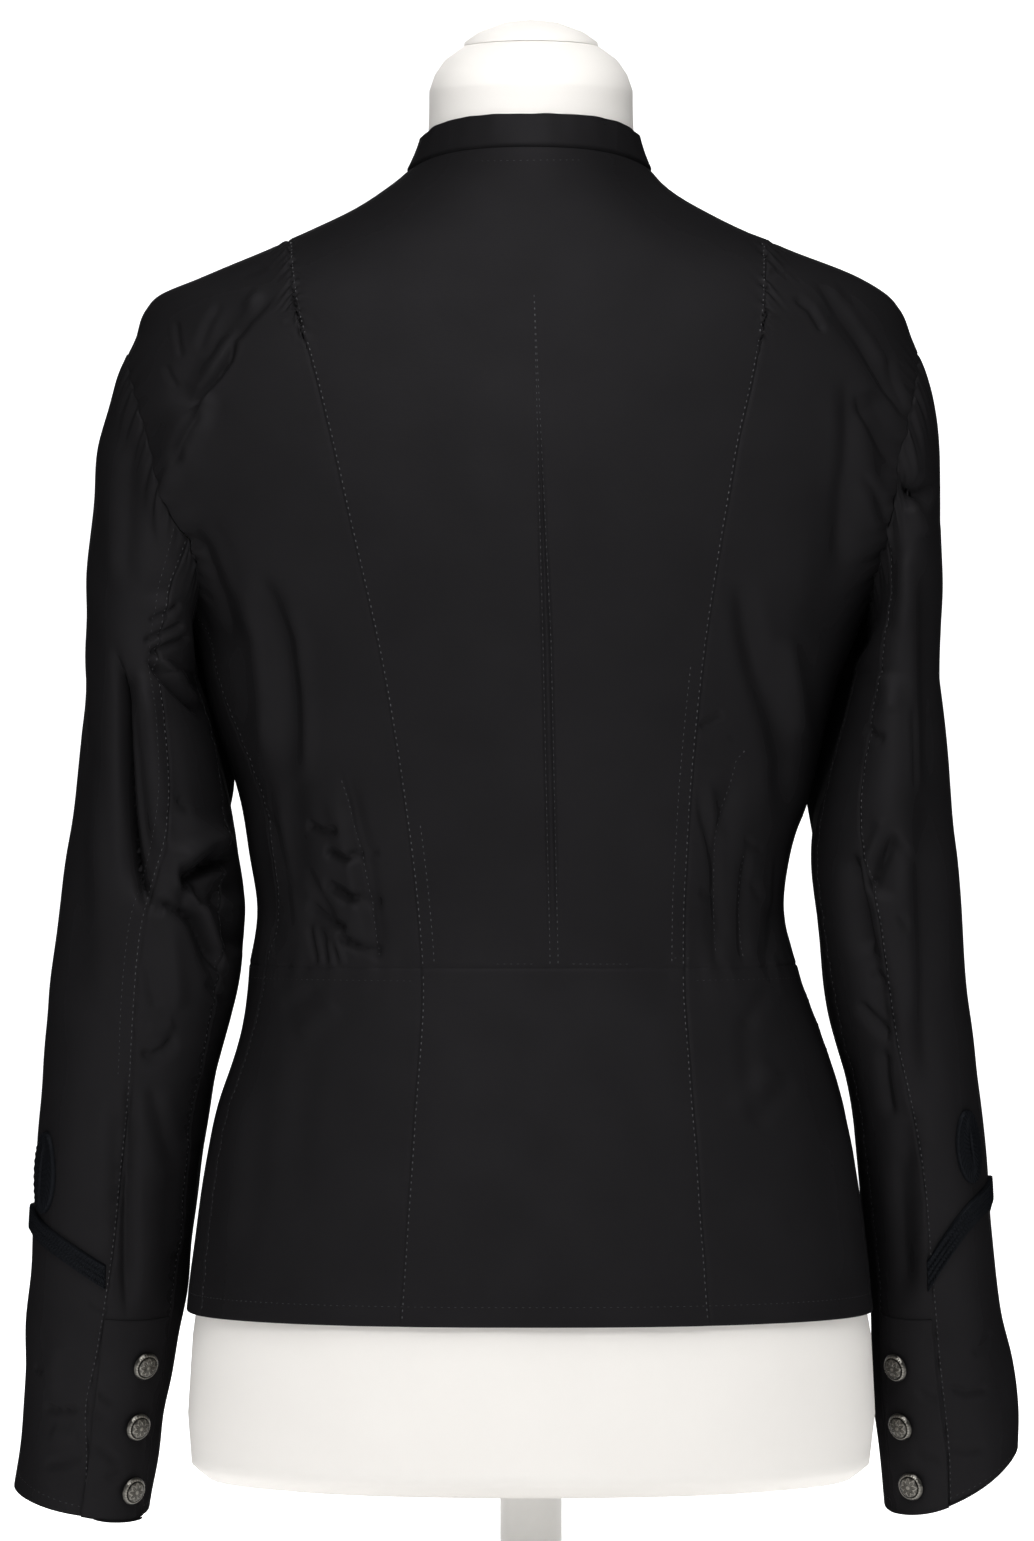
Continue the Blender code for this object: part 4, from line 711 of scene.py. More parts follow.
def read(table, name, height):
    """Reads one column of a table at any height, along a smooth curve through its rows."""
    xs = table["height"]
    ys = table[name]
    slope = np.gradient(ys, xs)
    x = np.clip(height, xs[0], xs[-1])
    i = np.clip(np.searchsorted(xs, x, side="right") - 1, 0, len(xs) - 2)
    width = xs[i + 1] - xs[i]
    u = (x - xs[i]) / width
    start = (1 + 2 * u) * (1 - u) ** 2 * ys[i] + u * (1 - u) ** 2 * width * slope[i]
    end = u * u * (3 - 2 * u) * ys[i + 1] - u * u * (1 - u) * width * slope[i + 1]
    return start + end


def ease(x, start=0.0, run=1.0):
    """Rises smoothly from 0 to 1 as x rises from the start by the run."""
    x = np.clip((x - start) / run, 0.0, 1.0)
    return x * x * (3 - 2 * x)


def bell(x, place=0.0, reach=1.0):
    """Falls smoothly from 1 to 0 on both sides of a place."""
    return np.exp(-(((x - place) / reach) ** 2))


def unit(vectors):
    """Scales each vector to length 1."""
    return vectors / np.maximum(np.linalg.norm(vectors, axis=-1, keepdims=True), 1e-12)


def section(angle, height, left, right, back, front, squareness):
    """Points of a rounded plan outline with its own reach to each of four sides."""
    s = np.sin(angle)
    c = np.cos(angle)
    r = (np.abs(s) ** squareness + np.abs(c) ** squareness) ** (-1.0 / squareness)
    x = np.where(s >= 0, left, right) * s * r
    y = np.where(c >= 0, back, front) * c * r
    return np.stack([x, y, height + 0.0 * angle], axis=-1)


def body_base(angle, height):
    """The body surface without its folds."""
    return section(angle, height, *(read(BODY, name, height) for name in BODY_COLUMNS.split()[1:-1]))


def nearest_on_path(path, x, z):
    """Distance to a path, share of the way along it, and the side of it, for points (x, z)."""
    path = np.array(path, float)
    lengths = np.linalg.norm(np.diff(path, axis=0), axis=1)
    best = np.full(np.shape(x), 1e9)
    along = np.zeros(np.shape(x))
    side = np.zeros(np.shape(x))
    done = 0.0
    for start, end, length in zip(path[:-1], path[1:], lengths):
        run = (end - start) / length
        t = np.clip((x - start[0]) * run[0] + (z - start[1]) * run[1], 0, length)
        dx = x - start[0] - t * run[0]
        dz = z - start[1] - t * run[1]
        away = np.hypot(dx, dz)
        closer = away < best
        best = np.where(closer, away, best)
        along = np.where(closer, (done + t) / lengths.sum(), along)
        side = np.where(closer, run[0] * dz - run[1] * dx, side)
        done += length
    return best, along, side


def fold_rise(folds, x, z):
    """Adds up the part's own folds at points (x, z) of the back view."""
    total = np.zeros(np.shape(x))
    for path, rise, near, far in folds:
        best, along, side = nearest_on_path(path, x, z)
        reach = np.where(side > 0, near, far)
        fade = ease(along / FOLD_FADE) * ease((1 - along) / FOLD_FADE)
        total += rise * bell(best, reach=reach) * fade
    return total


def crease_rise(creases, x, z, scale=1.0):
    """Adds up small creases, with reaches in units of the scale, at points (x, z)."""
    total = np.zeros(np.shape(x))
    for path, rise, left, right, sharp in creases:
        path = np.array(path, float)
        margin = 4 * max(left, right) * scale
        low = path.min(axis=0) - margin
        high = path.max(axis=0) + margin
        inside = (x > low[0]) & (x < high[0]) & (z > low[1]) & (z < high[1])
        if not inside.any():
            continue
        best, along, side = nearest_on_path(path, x[inside], z[inside])
        reach = np.where(side > 0, left, right) * scale
        share = best / reach
        lip = CREASE_LIP * min(1.0, LIP_ROOM / abs(rise))
        shape = np.exp(-(share ** sharp)) - lip * np.exp(-((share - LIP_PLACE) ** 2) * LIP_SHARPNESS)
        fade = ease(along / CREASE_FADE) * ease((1 - along) / CREASE_FADE)
        total[inside] += MILLIMETRE * rise * shape * fade
    return total


def in_picture(points):
    """Where points appear, in pixels of the photograph."""
    scale = CAMERA[1] / (CAMERA[1] - points[..., 1]) / PIXEL
    across = PICTURE[0] / 2 - (points[..., 0] - CAMERA[0]) * scale
    down = PICTURE[1] / 2 - (points[..., 2] - CAMERA[2]) * scale
    return across, down


def surface_normals(base, u, v, du=1e-3, dv=1e-4):
    """Outward normals of a surface given as a function of two parameters."""
    along_u = base(u + du, v) - base(u - du, v)
    along_v = base(u, v + dv) - base(u, v - dv)
    return unit(np.cross(along_v, along_u))


def ripple(distance, wave, seed):
    """An uneven wave from about -1 to 1 along a distance."""
    rng = np.random.default_rng(seed)
    total = np.zeros(np.shape(distance))
    for _ in range(4):
        total += np.sin(2 * np.pi * (distance / (wave * rng.uniform(0.55, 1.8)) + rng.uniform()))
    return total / 2.2


def undulate(points, wave, seed):
    """Soft uneven swell of about -1 to 1 over points in space."""
    rng = np.random.default_rng(seed)
    total = np.zeros(points.shape[:-1])
    for _ in range(9):
        direction = rng.normal(size=3)
        direction /= np.linalg.norm(direction) * wave * rng.uniform(0.7, 1.6)
        total += np.sin(2 * np.pi * (points @ direction + rng.uniform()))
    return total / 3.0


def angle_at_x(distance, height, side, front=False):
    """Angle round the body at which the surface lies a distance from the middle."""
    reach = read(BODY, side, height)
    n = read(BODY, "squareness", height)
    k = np.clip(distance / reach, 0.0, 1.0)
    angle = np.arctan2(k, (1 - k ** n) ** (1 / n))
    return SIGN[side] * (math.pi - angle if front else angle)


def angle_at_y(y, height, side):
    """Angle round the body at which one side of the surface lies at a depth y."""
    depth = np.where(y >= 0, read(BODY, "back", height), read(BODY, "front", height))
    n = read(BODY, "squareness", height)
    q = np.clip(np.abs(y) / depth, 0.0, 1.0)
    return SIGN[side] * np.arctan2((1 - q ** n) ** (1 / n), np.sign(y) * q)


def armhole(side, turn):
    """Angle round the body and height of an armhole, for a turn from its top (0) to its back (90 degrees)."""
    shape = ARMHOLES[side]
    height = ARMHOLE_MIDDLE + ARMHOLE_HALF * np.cos(turn)
    reach = np.where(np.sin(turn) >= 0, shape["back"], shape["front"])
    lean = shape["lean"] * ((1 - np.cos(turn)) / 2) ** LEAN_CURVE
    return angle_at_y(lean + reach * np.sin(turn), height, side), height


def armhole_distance(side, points):
    """Distance of body points from the armhole seam, seen from the side, and the turn round it."""
    shape = ARMHOLES[side]
    rise = (points[..., 2] - ARMHOLE_MIDDLE) / ARMHOLE_HALF
    lean = shape["lean"] * ((1 - np.clip(rise, -1, 1)) / 2) ** LEAN_CURVE
    forward = points[..., 1] - lean
    reach = np.where(forward >= 0, shape["back"], shape["front"])
    distance = (np.hypot(forward / reach, rise) - 1) * ARMHOLE_REACH
    return distance, np.arctan2(forward / reach, rise)


def neckline(angle):
    """Height of the neckline round the body: it dips steeply only close to the centre front."""
    height = np.full(np.shape(angle), NECK_SIDE)
    for _ in range(NECKLINE_STEPS):
        depth = body_base(angle, height)[..., 1]
        rise_back = NECK_BACK_RISE * ease(depth / NECK_BACK_DEPTH)
        drop_front = NECK_FRONT_DROP * np.clip(-depth / NECK_FRONT_DEPTH, 0, 1) ** NECK_FRONT_CURVE
        height = (height + NECK_SIDE + rise_back - drop_front) / 2
    return height


def puckers(name, along, away, side="left"):
    """Small puckers along one seam, which fade away from it."""
    size, wave, reach, seeds = PUCKERS[name]
    return size * ripple(along, wave, seeds[side == "right"]) * np.exp(-np.abs(away) / reach)


def princess_puckers(side, x, z):
    """Puckers of a back shoulder seam, which grow and slant more towards the shoulder."""
    top = ease(z, *PRINCESS_PUCKER_RISE)
    size, slant, wave, reach = (low + more * top for low, more in PRINCESS_PUCKERS.values())
    away = np.abs(x) - read(PRINCESS, side, z)
    uneven = ripple(z + away * slant, wave, PRINCESS_PUCKER_SEEDS[side])
    return size * uneven * np.exp(-np.abs(away) / reach)


def seam_puckers(points):
    """Small puckers beside the body's seams, the same on both sides of each seam."""
    x = points[..., 0]
    y = points[..., 1]
    z = points[..., 2]
    total = np.zeros(np.shape(x))
    for side, sign in SIGN.items():
        out = sign * x
        on_back = ease(out, run=0.01) * ease(y, run=PUCKER_FADE) * ease(PUCKER_TOP - z, run=0.006)
        total += on_back * princess_puckers(side, x, z)
        below_arm = ease(UNDERARM - z, run=PUCKER_FADE) * ease(out, *PUCKER_SIDE["side_seam"])
        total += below_arm * puckers("side_seam", z, y - read(SIDE_SEAM, side, z), side)
        away, turn = armhole_distance(side, points)
        near_arm = ease(out, *PUCKER_SIDE["armhole"]) * ease(z, PUCKER_ARM, PUCKER_FADE)
        total += near_arm * puckers("armhole", turn, away, side)
    sides = WAIST_MIDDLE_SHARE + (1 - WAIST_MIDDLE_SHARE) * ease(np.abs(x), *PUCKER_SIDE["waist"])
    return total + sides * puckers("waist", np.arctan2(x, y), z - WAIST)


def swell(points, depth, wave, seed):
    """Soft uneven swell over points in space."""
    return depth * undulate(points, wave, seed)


def lap_lift(points):
    """How far the upper front is raised where it crosses the lower one."""
    return LAP_LIFT * ease(points[..., 0], -UNDERLAP - LAP_EASE, LAP_RUN)


def body_surface(angle, height, lapped=False):
    """Points and normals of the cloth's outer face round the body, with every fold and crease."""
    angle, height = np.broadcast_arrays(np.asarray(angle, float), np.asarray(height, float))
    points = body_base(angle, height)
    normals = surface_normals(body_base, angle, height)
    facing = ease(FOLD_TURN * normals[..., 1])
    rise = facing * fold_rise(BACK_FOLDS, points[..., 0], points[..., 2])
    across, down = in_picture(points)
    seen = ease(FACING_TURN * normals[..., 1] + FACING_START)
    fine = sum(crease_rise(creases, across, down) for creases in (BACK_CREASES, PEPLUM_CREASES, CENTRE_TUCK))
    rise = rise + seen * fine
    hidden = ease(-FACING_TURN * normals[..., 1] + FACING_START)
    rise = rise + hidden * crease_rise(FRONT_CREASES, points[..., 0], points[..., 2], MILLIMETRE)
    rise = rise + seam_puckers(points) + swell(points, *BODY_SWELL)
    room = read(BODY, "clearance", points[..., 2]) - FORM_ROOM
    rise = np.where(rise < 0, -room * np.tanh(-rise / room), rise)
    if lapped:
        rise = rise + lap_lift(points)
    return points + normals * rise[..., None], normals


def hanging_in(turn):
    """Share of a sleeve's inner fullness at a turn."""
    off = (turn - math.radians(FULLNESS_TURN) + math.pi) % (2 * math.pi) - math.pi
    return bell(off, reach=math.radians(FULLNESS_REACH))


def tube_ring(side, turn, height):
    """Points round a sleeve at a height of its axis, as if it were the left one."""
    table = SLEEVES[side]

    def axis(h):
        middle = (read(table, "outer", h) + read(table, "inner", h)) / 2
        return np.stack([middle, read(table, "middle", h), h], axis=-1)

    tangent = unit(axis(height + AXIS_STEP) - axis(height - AXIS_STEP))
    across = np.array([1.0, 0.0, 0.0]) - tangent * tangent[..., :1]
    across = unit(across)
    deep = np.cross(tangent, across)
    half_width = (read(table, "outer", height) - read(table, "inner", height)) / 2
    half_depth = read(table, "half_depth", height)
    s = np.sin(turn)
    c = np.cos(turn)
    r = (np.abs(s) ** SLEEVE_SQUARENESS + np.abs(c) ** SLEEVE_SQUARENESS) ** (-1 / SLEEVE_SQUARENESS)
    inwards = half_width * c * r - read(table, "fullness", height) * hanging_in(turn)
    return axis(height) + across * inwards[..., None] + deep * (half_depth * s * r)[..., None]


def sleeve_base(side, turn, down):
    """The sleeve surface: down is 0 at the armhole, 1 at the top of the tube and 2 at the cuff."""
    turn, down = np.broadcast_arrays(np.asarray(turn, float), np.asarray(down, float))
    mirror = np.array([SIGN[side], 1.0, 1.0])
    heights = SLEEVE_TOP + (CUFF - SLEEVE_TOP) * np.maximum(down - 1, 0)
    tube = tube_ring(side, turn, heights)
    low = np.clip((down - HEM_LIFT_START) / (2 - HEM_LIFT_START), 0, 1)
    tube[..., 2] += HEM_LIFT[side] * ((1 + np.cos(turn)) / 2) ** 2 * low ** 2
    opening = armhole(side, turn)
    off_body = surface_normals(body_base, *opening) * (UNDERARM_GAP * ease(-np.cos(turn)))[..., None]
    start = (body_base(*opening) + off_body) * mirror
    leave = unit(np.stack([CAP_OUT + CAP_OUT_TOP * np.cos(turn), 0 * turn, 0 * turn - 1], axis=-1))
    first = start + CAP_LEAVE * leave
    second = tube.copy()
    second[..., 2] += CAP_ARRIVE * (start[..., 2] - tube[..., 2])
    u = np.clip(down, 0, 1)[..., None]
    cap = (1 - u) ** 3 * start + 3 * u * (1 - u) ** 2 * first + 3 * u * u * (1 - u) * second + u ** 3 * tube
    cap[..., 0] -= CAP_FULLNESS * hanging_in(turn) * 4 * u[..., 0] * (1 - u[..., 0])
    return np.where((down < 1)[..., None], cap, tube) * mirror


def seam_turn(side, name, down):
    """Turn of one of a sleeve's two seams."""
    top = SLEEVE_BACK_SEAM_TOP if name == "back_seam" else SLEEVE_UNDER_SEAM_TOP
    heights = SLEEVE_TOP + (CUFF - SLEEVE_TOP) * np.clip(down - 1, 0, 1)
    below = read(SLEEVES[side], name, heights)
    return np.radians(np.where(down < 1, top + (below - top) * ease(down), below))


def sleeve_surface(side, turn, down):
    """Points and outward normals of a sleeve's outer face, with every fold and crease."""
    turn, down = np.broadcast_arrays(np.asarray(turn, float), np.asarray(down, float))
    points = sleeve_base(side, turn, down)
    inner = np.clip(down, 0.01, 2 - 0.01)
    normals = surface_normals(lambda u, v: sleeve_base(side, u, v), turn, inner, dv=0.008) * SIGN[side]
    facing = ease(FOLD_TURN * normals[..., 1] + SLEEVE_FOLD_START)
    plain = ease(down / CAP_PLAIN)
    rise = facing * fold_rise(SLEEVE_FOLDS[side], points[..., 0], points[..., 2]) * plain
    across, below = in_picture(points)
    seen = ease(FACING_TURN * normals[..., 1] + SLEEVE_FACING_START)
    rise = rise + seen * crease_rise(SLEEVE_CREASES[side], across, below) * ease(down, run=CAP_BACK_RUN)
    hidden = ease(-FACING_TURN * normals[..., 1] + FACING_START) * ease(down, run=CAP_RUN)
    rise = rise + hidden * crease_rise(SLEEVE_FRONT_CREASES[side], points[..., 0], points[..., 2], MILLIMETRE)
    rise = rise + puckers("cap", turn, np.clip(down, 0, 2), side) * ease(down, run=CAP_PUCKER_RUN)
    for name in ("back_seam", "under_seam"):
        away = ((turn - seam_turn(side, name, down) + np.pi) % (2 * np.pi) - np.pi) * SLEEVE_RADIUS
        rise = rise + puckers(name, points[..., 2], away, side)
    near = down < JOIN
    opening = [values[near] for values in armhole(side, turn)]
    moved = body_surface(*opening)[0] - body_base(*opening)
    points[near] += moved * (1 - ease(down[near] / JOIN))[..., None]
    rise = rise + swell(points, *SLEEVE_SWELL[side]) * ease(down, run=CAP_RUN)
    return points + normals * rise[..., None], normals


def spread(length, step, breaks=()):
    """Positions from 0 to 1 along a length, a step apart, crowded at both ends and through the breaks."""
    near = np.array(EDGE_STEPS) / length
    stops = [near[-1], *breaks, 1 - near[-1]]
    middle = []
    for start, end in zip(stops[:-1], stops[1:]):
        count = max(2, int(round((end - start) * length / step)) + 1)
        middle.append(np.linspace(start, end, count)[:-1])
    return np.concatenate([near[:-1], *middle, 1 - near[::-1]])


def blend(first, second, u):
    """Grid of angles and heights between two edges with the same rows, at the shares u."""
    u = u[None, :]
    return tuple(a[:, None] * (1 - u) + b[:, None] * u for a, b in zip(first, second))


# Row numbers of the part's panels, counted from the waist: underarm, shoulder tip and neck
ROW_UNDERARM = 7
ROW_TIP = 19
ROW_NECK_BACK = 22
ROW_NECK_FRONT = 25
# Rough length or width of each panel and the spacing of its grid's rows or columns
BACK_CENTRE_ROWS = (0.40, 0.0020)
BACK_CENTRE_COLUMNS = (0.22, 0.0026)
NECK_EDGE_SHARES = (0.955, 0.98, 0.993, 1.0)
BACK_SIDE_ROWS = (0.38, 0.00125)
BACK_SIDE_COLUMNS = (0.13, 0.00125)
FRONT_ROWS = (0.42, 0.0032)
FRONT_COLUMNS = (0.16, 0.0032)
LAP_COLUMNS = 7
LAP_SHARES = (0.2, 0.4, 0.6, 0.8, 0.88, 0.94, 0.98, 1.0)
PEPLUM_ROW_STEP = 0.0022
PEPLUM_BACK_COLUMNS = (0.155, 0.0024)
PEPLUM_SIDE_COLUMNS = (0.13, 0.0024)
SLEEVE_WIDE_COLUMNS = (0.26, 0.0042)
SLEEVE_FINE_COLUMNS = (0.26, 0.0011)
SLEEVE_FINE_START = 0.62
SLEEVE_UNDER_COLUMNS = (0.06, 0.0012)
SLEEVE_CAP_LENGTH = 0.17
SLEEVE_CAP_ROWS = 96
SLEEVE_TUBE_ROWS = 296
SLEEVE_TUBE_STOP = 1.992
SLEEVE_HEM_ROWS = (1.9945, 1.9965, 1.9980, 1.9991, 2.0)
VENT_COLUMNS = (0.045, 0.0022)
VENT_ROW_STEP = 0.0022
COLLAR_STEP = 0.0016
COLLAR_QUARTER = 0.10
COLLAR_FOOT_SHARES = (0, 0.02, 0.05, 0.09)
COLLAR_TOP_SHARES = (0.93, 0.965, 0.985, 1.0)
# Columns of the back that cross its tuck, as shares of its width
TUCK_COLUMNS = (0.462, 0.555)
TUCK_COLUMN_COUNT = 44
TUCK_ROOM = 0.002
SEAM_SAMPLES = 600
SHOULDER_CROWDING = 1.5
CROWDING_START = 0.660
CROWDING_RUN = 0.040


def side_edge(side, front, rows):
    """A side seam and half an armhole, as angles and heights at row numbers."""
    low = rows <= ROW_UNDERARM
    heights = np.interp(rows, (0, ROW_UNDERARM), (WAIST, UNDERARM))
    angles = angle_at_y(read(SIDE_SEAM, side, heights), heights, side)
    half_turn = -math.pi if front else math.pi
    turns = np.interp(rows, (ROW_UNDERARM, ROW_TIP), (half_turn, 0.0))
    arm_angles, arm_heights = armhole(side, turns)
    return np.where(low, angles, arm_angles), np.where(low, heights, arm_heights)


def princess_edge(side, rows):
    """A back shoulder seam as angles and heights at row numbers, with closer rows over the shoulder."""
    heights = np.linspace(WAIST, PRINCESS_TOP, SEAM_SAMPLES)
    angles = angle_at_x(read(PRINCESS, side, heights), heights, side)
    angles[-1] = SIGN[side] * math.pi / 2
    steps = np.linalg.norm(np.diff(body_base(angles, heights), axis=0), axis=1)
    steps = steps * (1 + SHOULDER_CROWDING * ease((heights[1:] - CROWDING_START) / CROWDING_RUN))
    length = np.concatenate([[0.0], np.cumsum(steps)])
    even = np.clip(rows / ROW_TIP, 0, 1) * length[-1]
    return np.interp(even, length, angles), np.interp(even, length, heights)


def centre_front(side, heights):
    """Angles of three lines by the front edge: short of the middle, the middle, and the edge past it."""
    past = OVERLAP if side == "right" else UNDERLAP
    other = "left" if side == "right" else "right"
    near = angle_at_x(LAP_COLUMN, heights, side, front=True)
    middle = np.full(np.shape(heights), SIGN[side] * math.pi)
    edge = SIGN[side] * (2 * math.pi) + angle_at_x(past, heights, other, front=True)
    return near, middle, edge


def front_grid(side, outer_edge, heights):
    """Grid of angles and heights from a side or shoulder edge to a front edge."""
    near, middle, edge = centre_front(side, heights)
    u = spread(*FRONT_COLUMNS)[:-len(EDGE_STEPS) + 1]
    u = u / u[-1]
    angles, levels = blend(outer_edge, (near, heights), u)
    first = np.linspace(0, 1, LAP_COLUMNS)[1:]
    last = np.array(LAP_SHARES)
    to_middle = near[:, None] + (middle - near)[:, None] * first
    to_edge = middle[:, None] + (edge - middle)[:, None] * last
    level = heights[:, None] + np.zeros((1, len(first) + len(last)))
    return np.concatenate([angles, to_middle, to_edge], axis=1), np.concatenate([levels, level], axis=1)


def grid_normals(points, outward):
    """Normals of a grid of points, on the same side as the outward directions."""
    normals = unit(np.cross(np.gradient(points, axis=0), np.gradient(points, axis=1)))
    if (normals * outward).sum() < 0:
        normals = -normals
    return normals


def edge_distances(points):
    """Distance of each grid point from the first and last row and the first and last column."""
    up = np.linalg.norm(np.diff(points, axis=0), axis=-1)
    up = np.concatenate([np.zeros((1, points.shape[1])), np.cumsum(up, axis=0)])
    over = np.linalg.norm(np.diff(points, axis=1), axis=-1)
    over = np.concatenate([np.zeros((points.shape[0], 1)), np.cumsum(over, axis=1)], axis=1)
    return {"bottom": up, "top": up[-1:] - up, "first": over, "last": over[:, -1:] - over}


# Where each edge of a grid and a row or column a little way inside it lie
RIMS = {
    "bottom": (np.s_[0], np.s_[4]),
    "top": (np.s_[-1], np.s_[-5]),
    "first": (np.s_[:, 0], np.s_[:, 4]),
    "last": (np.s_[:, -1], np.s_[:, -5]),
}


def sheet(node, points, outward, material, open_edges=(), dips=None, thick=TURN_IN):
    """A thin shell of cloth on a grid: it dips at its seams, and rounds off at its open edges."""
    away = edge_distances(points)
    rise = np.zeros(points.shape[:2])
    for edge, distance in away.items():
        if edge in open_edges:
            rise -= 0.5 * thick * np.clip(1 - distance / (0.8 * thick), 0, 1) ** 2
        else:
            dip = (dips or {}).get(edge, SEAM_DIP)
            rise -= dip * bell(distance, reach=SEAM_WIDTH)
    normals = grid_normals(points, outward)
    outer = points + normals * rise[..., None]
    rows, cells = points.shape[:2]
    inner = outer - grid_normals(outer, outward) * thick
    for edge, (line, near) in RIMS.items():
        if edge not in open_edges:
            inner[line] += FLARE * unit(outer[line] - outer[near])
    at = np.arange(rows * cells).reshape(rows, cells)
    flip = (np.cross(points[1, 0] - points[0, 0], points[0, 1] - points[0, 0]) * outward[0, 0]).sum() > 0
    used, inner_side = inner_faces(at)
    number = np.full(rows * cells, -1)
    number[used] = rows * cells + np.arange(len(used))
    faces = np.stack([at[:-1, :-1], at[1:, :-1], at[1:, 1:], at[:-1, 1:]], -1).reshape(-1, 4).tolist()
    faces += [number[face].tolist() for face in inner_side]
    rim = rim_of(at)
    after = np.roll(rim, -1)
    faces += np.stack([rim, number[rim], number[after], after], -1).tolist()
    if not flip:
        faces = [face[::-1] for face in faces]
    vertices = np.concatenate([outer.reshape(-1, 3), inner.reshape(-1, 3)[used]])
    piece = mesh_object(f"cloth_{node}", vertices, faces, material)
    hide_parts(node)


def rim_of(at):
    """Numbers of a grid's points once round its rim."""
    return np.concatenate([at[:-1, 0], at[-1, :-1], at[:0:-1, -1], at[0, :0:-1]])


def inner_faces(at):
    """Vertices and faces of a sheet's inner side, in cells twice as wide that still meet its whole rim."""
    rows, cells = (np.unique(np.append(np.arange(0, count - 1, 2), count - 1)) for count in at.shape)
    faces = []
    for low, high in zip(rows[:-1], rows[1:]):
        for left, right in zip(cells[:-1], cells[1:]):
            bottom = at[low, left:right + 1] if low == 0 else at[low, [left, right]]
            top = at[high, left:right + 1] if high == rows[-1] else at[high, [left, right]]
            first = at[low:high + 1, left] if left == 0 else at[[low, high], left]
            last = at[low:high + 1, right] if right == cells[-1] else at[[low, high], right]
            faces.append(np.concatenate([bottom[:-1], last[:-1], top[:0:-1], first[:0:-1]]))
    return np.unique(np.concatenate(faces)), faces


def mesh_object(name, vertices, faces, material, sharp=SHARP_CLOTH):
    """Makes a smooth mesh piece that rides on the part's one body."""
    mesh = bpy.data.meshes.new(name)
    mesh.from_pydata(np.asarray(vertices).tolist(), [], faces if isinstance(faces, list) else faces.tolist())
    mesh.validate()
    mesh.shade_smooth()
    mesh.set_sharp_from_angle(angle=math.radians(sharp))
    mesh.materials.append(material)
    piece = bpy.data.objects.new(name, mesh)
    bpy.context.collection.objects.link(piece)
    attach(piece, "root")
    return piece


PLAIN = (1.0, 1.0, 1.0)
# Each material: its plain colour, roughness, specular level, metal share and sheen; the noise that
# mixes its two colours; and its bumps, each a noise, its strength and its depth in metres. A noise
# has a scale for each metre, a detail and a stretch along each axis.
MATERIALS = {
    # Thin woven cloth: a fine crosswise rib, and light that drifts over it
    "black_cloth": {
        "base": ((0.0150, 0.0144, 0.0154), 0.62, 0.0, 0.5, 0.0),
        "mix": ((26.0, 4.0, PLAIN), (0.0125, 0.0120, 0.0128), (0.0175, 0.0168, 0.0180)),
        "bumps": (
            ((900.0, 2.0, (0.35, 0.35, 1.6)), 0.35, 0.00010),
            ((120.0, 3.0, PLAIN), 0.30, 0.00035),
        ),
    },
    # Flat ribbed braid: matt, with a little light on each rib
    "black_braid": {
        "base": ((0.012, 0.012, 0.013), 0.50, 0.0, 0.5, 0.0),
        "mix": ((1400.0, 2.0, PLAIN), (0.0055, 0.0060, 0.0075), (0.0130, 0.0140, 0.0160)),
        "bumps": (((1400.0, 2.0, PLAIN), 0.5, 0.00015),),
    },
    # Sewing thread: black, but smoother than the cloth and coloured lighter as a painted glint, so that each
    # stitch shows as a light dot
    "thread_painted_glint": {
        "base": ((0.040, 0.040, 0.044), 0.45, 0.15, 0.0, 0.0),
        "mix": ((60.0, 2.0, PLAIN), (0.030, 0.030, 0.032), (0.100, 0.100, 0.106)),
        "bumps": (),
    },
    # Antiqued metal: bright on what is worn, dark in the hollows
    "antique_metal": {
        "base": ((0.23, 0.215, 0.19), 0.30, 0.5, 1.0, 0.0),
        "mix": ((900.0, 4.0, PLAIN), (0.0012, 0.0012, 0.0010), (0.29, 0.277, 0.250)),
        "bumps": (((900.0, 4.0, PLAIN), 0.4, 0.0001),),
    },
    # The form's cover: smooth stretched jersey, matt and cream, with a fine knit
    "cream_cover": {
        "base": ((0.80, 0.775, 0.735), 0.85, 0.15, 0.0, 0.05),
        "mix": ((14.0, 3.0, PLAIN), (0.785, 0.757, 0.724), (0.830, 0.804, 0.770)),
        "bumps": (((1100.0, 2.0, (1.0, 1.0, 0.5)), 0.25, 0.0001),),
    },
    # Satin white paint on metal, with a faint unevenness
    "white_paint": {
        "base": ((0.80, 0.79, 0.77), 0.38, 0.5, 0.0, 0.0),
        "mix": ((220.0, 2.0, PLAIN), (0.785, 0.775, 0.755), (0.815, 0.805, 0.785)),
        "bumps": (((220.0, 2.0, PLAIN), 0.2, 0.0001),),
    },
}
SHEEN_ROUGHNESS = 0.45


def node_material(name, colour, roughness, specular=0.5, metallic=0.0, sheen=0.0):
    """A principled material, its shader and its texture coordinates, ready for finer nodes."""
    material = bpy.data.materials.new(name)
    material.use_nodes = True
    tree = material.node_tree
    shader = tree.nodes["Principled BSDF"]
    values = {
        "Base Color": (*colour, 1.0),
        "Roughness": roughness,
        "Specular IOR Level": specular,
        "Metallic": metallic,
        "Sheen Weight": sheen,
        "Sheen Roughness": SHEEN_ROUGHNESS,
    }
    if specular == 0:
        values["Specular Tint"] = (0.0, 0.0, 0.0, 1.0)
    for socket, value in values.items():
        shader.inputs[socket].default_value = value
    place = tree.nodes.new("ShaderNodeTexCoord").outputs["Object"]
    return material, tree, shader, place


def add_noise(tree, place, scale, detail, stretch):
    """A noise texture in metres, with its own stretch along each axis."""
    mapping = tree.nodes.new("ShaderNodeMapping")
    mapping.inputs["Scale"].default_value = stretch
    tree.links.new(place, mapping.inputs["Vector"])
    noise = tree.nodes.new("ShaderNodeTexNoise")
    noise.inputs["Scale"].default_value = scale
    noise.inputs["Detail"].default_value = detail
    tree.links.new(mapping.outputs["Vector"], noise.inputs["Vector"])
    return noise.outputs["Fac"]


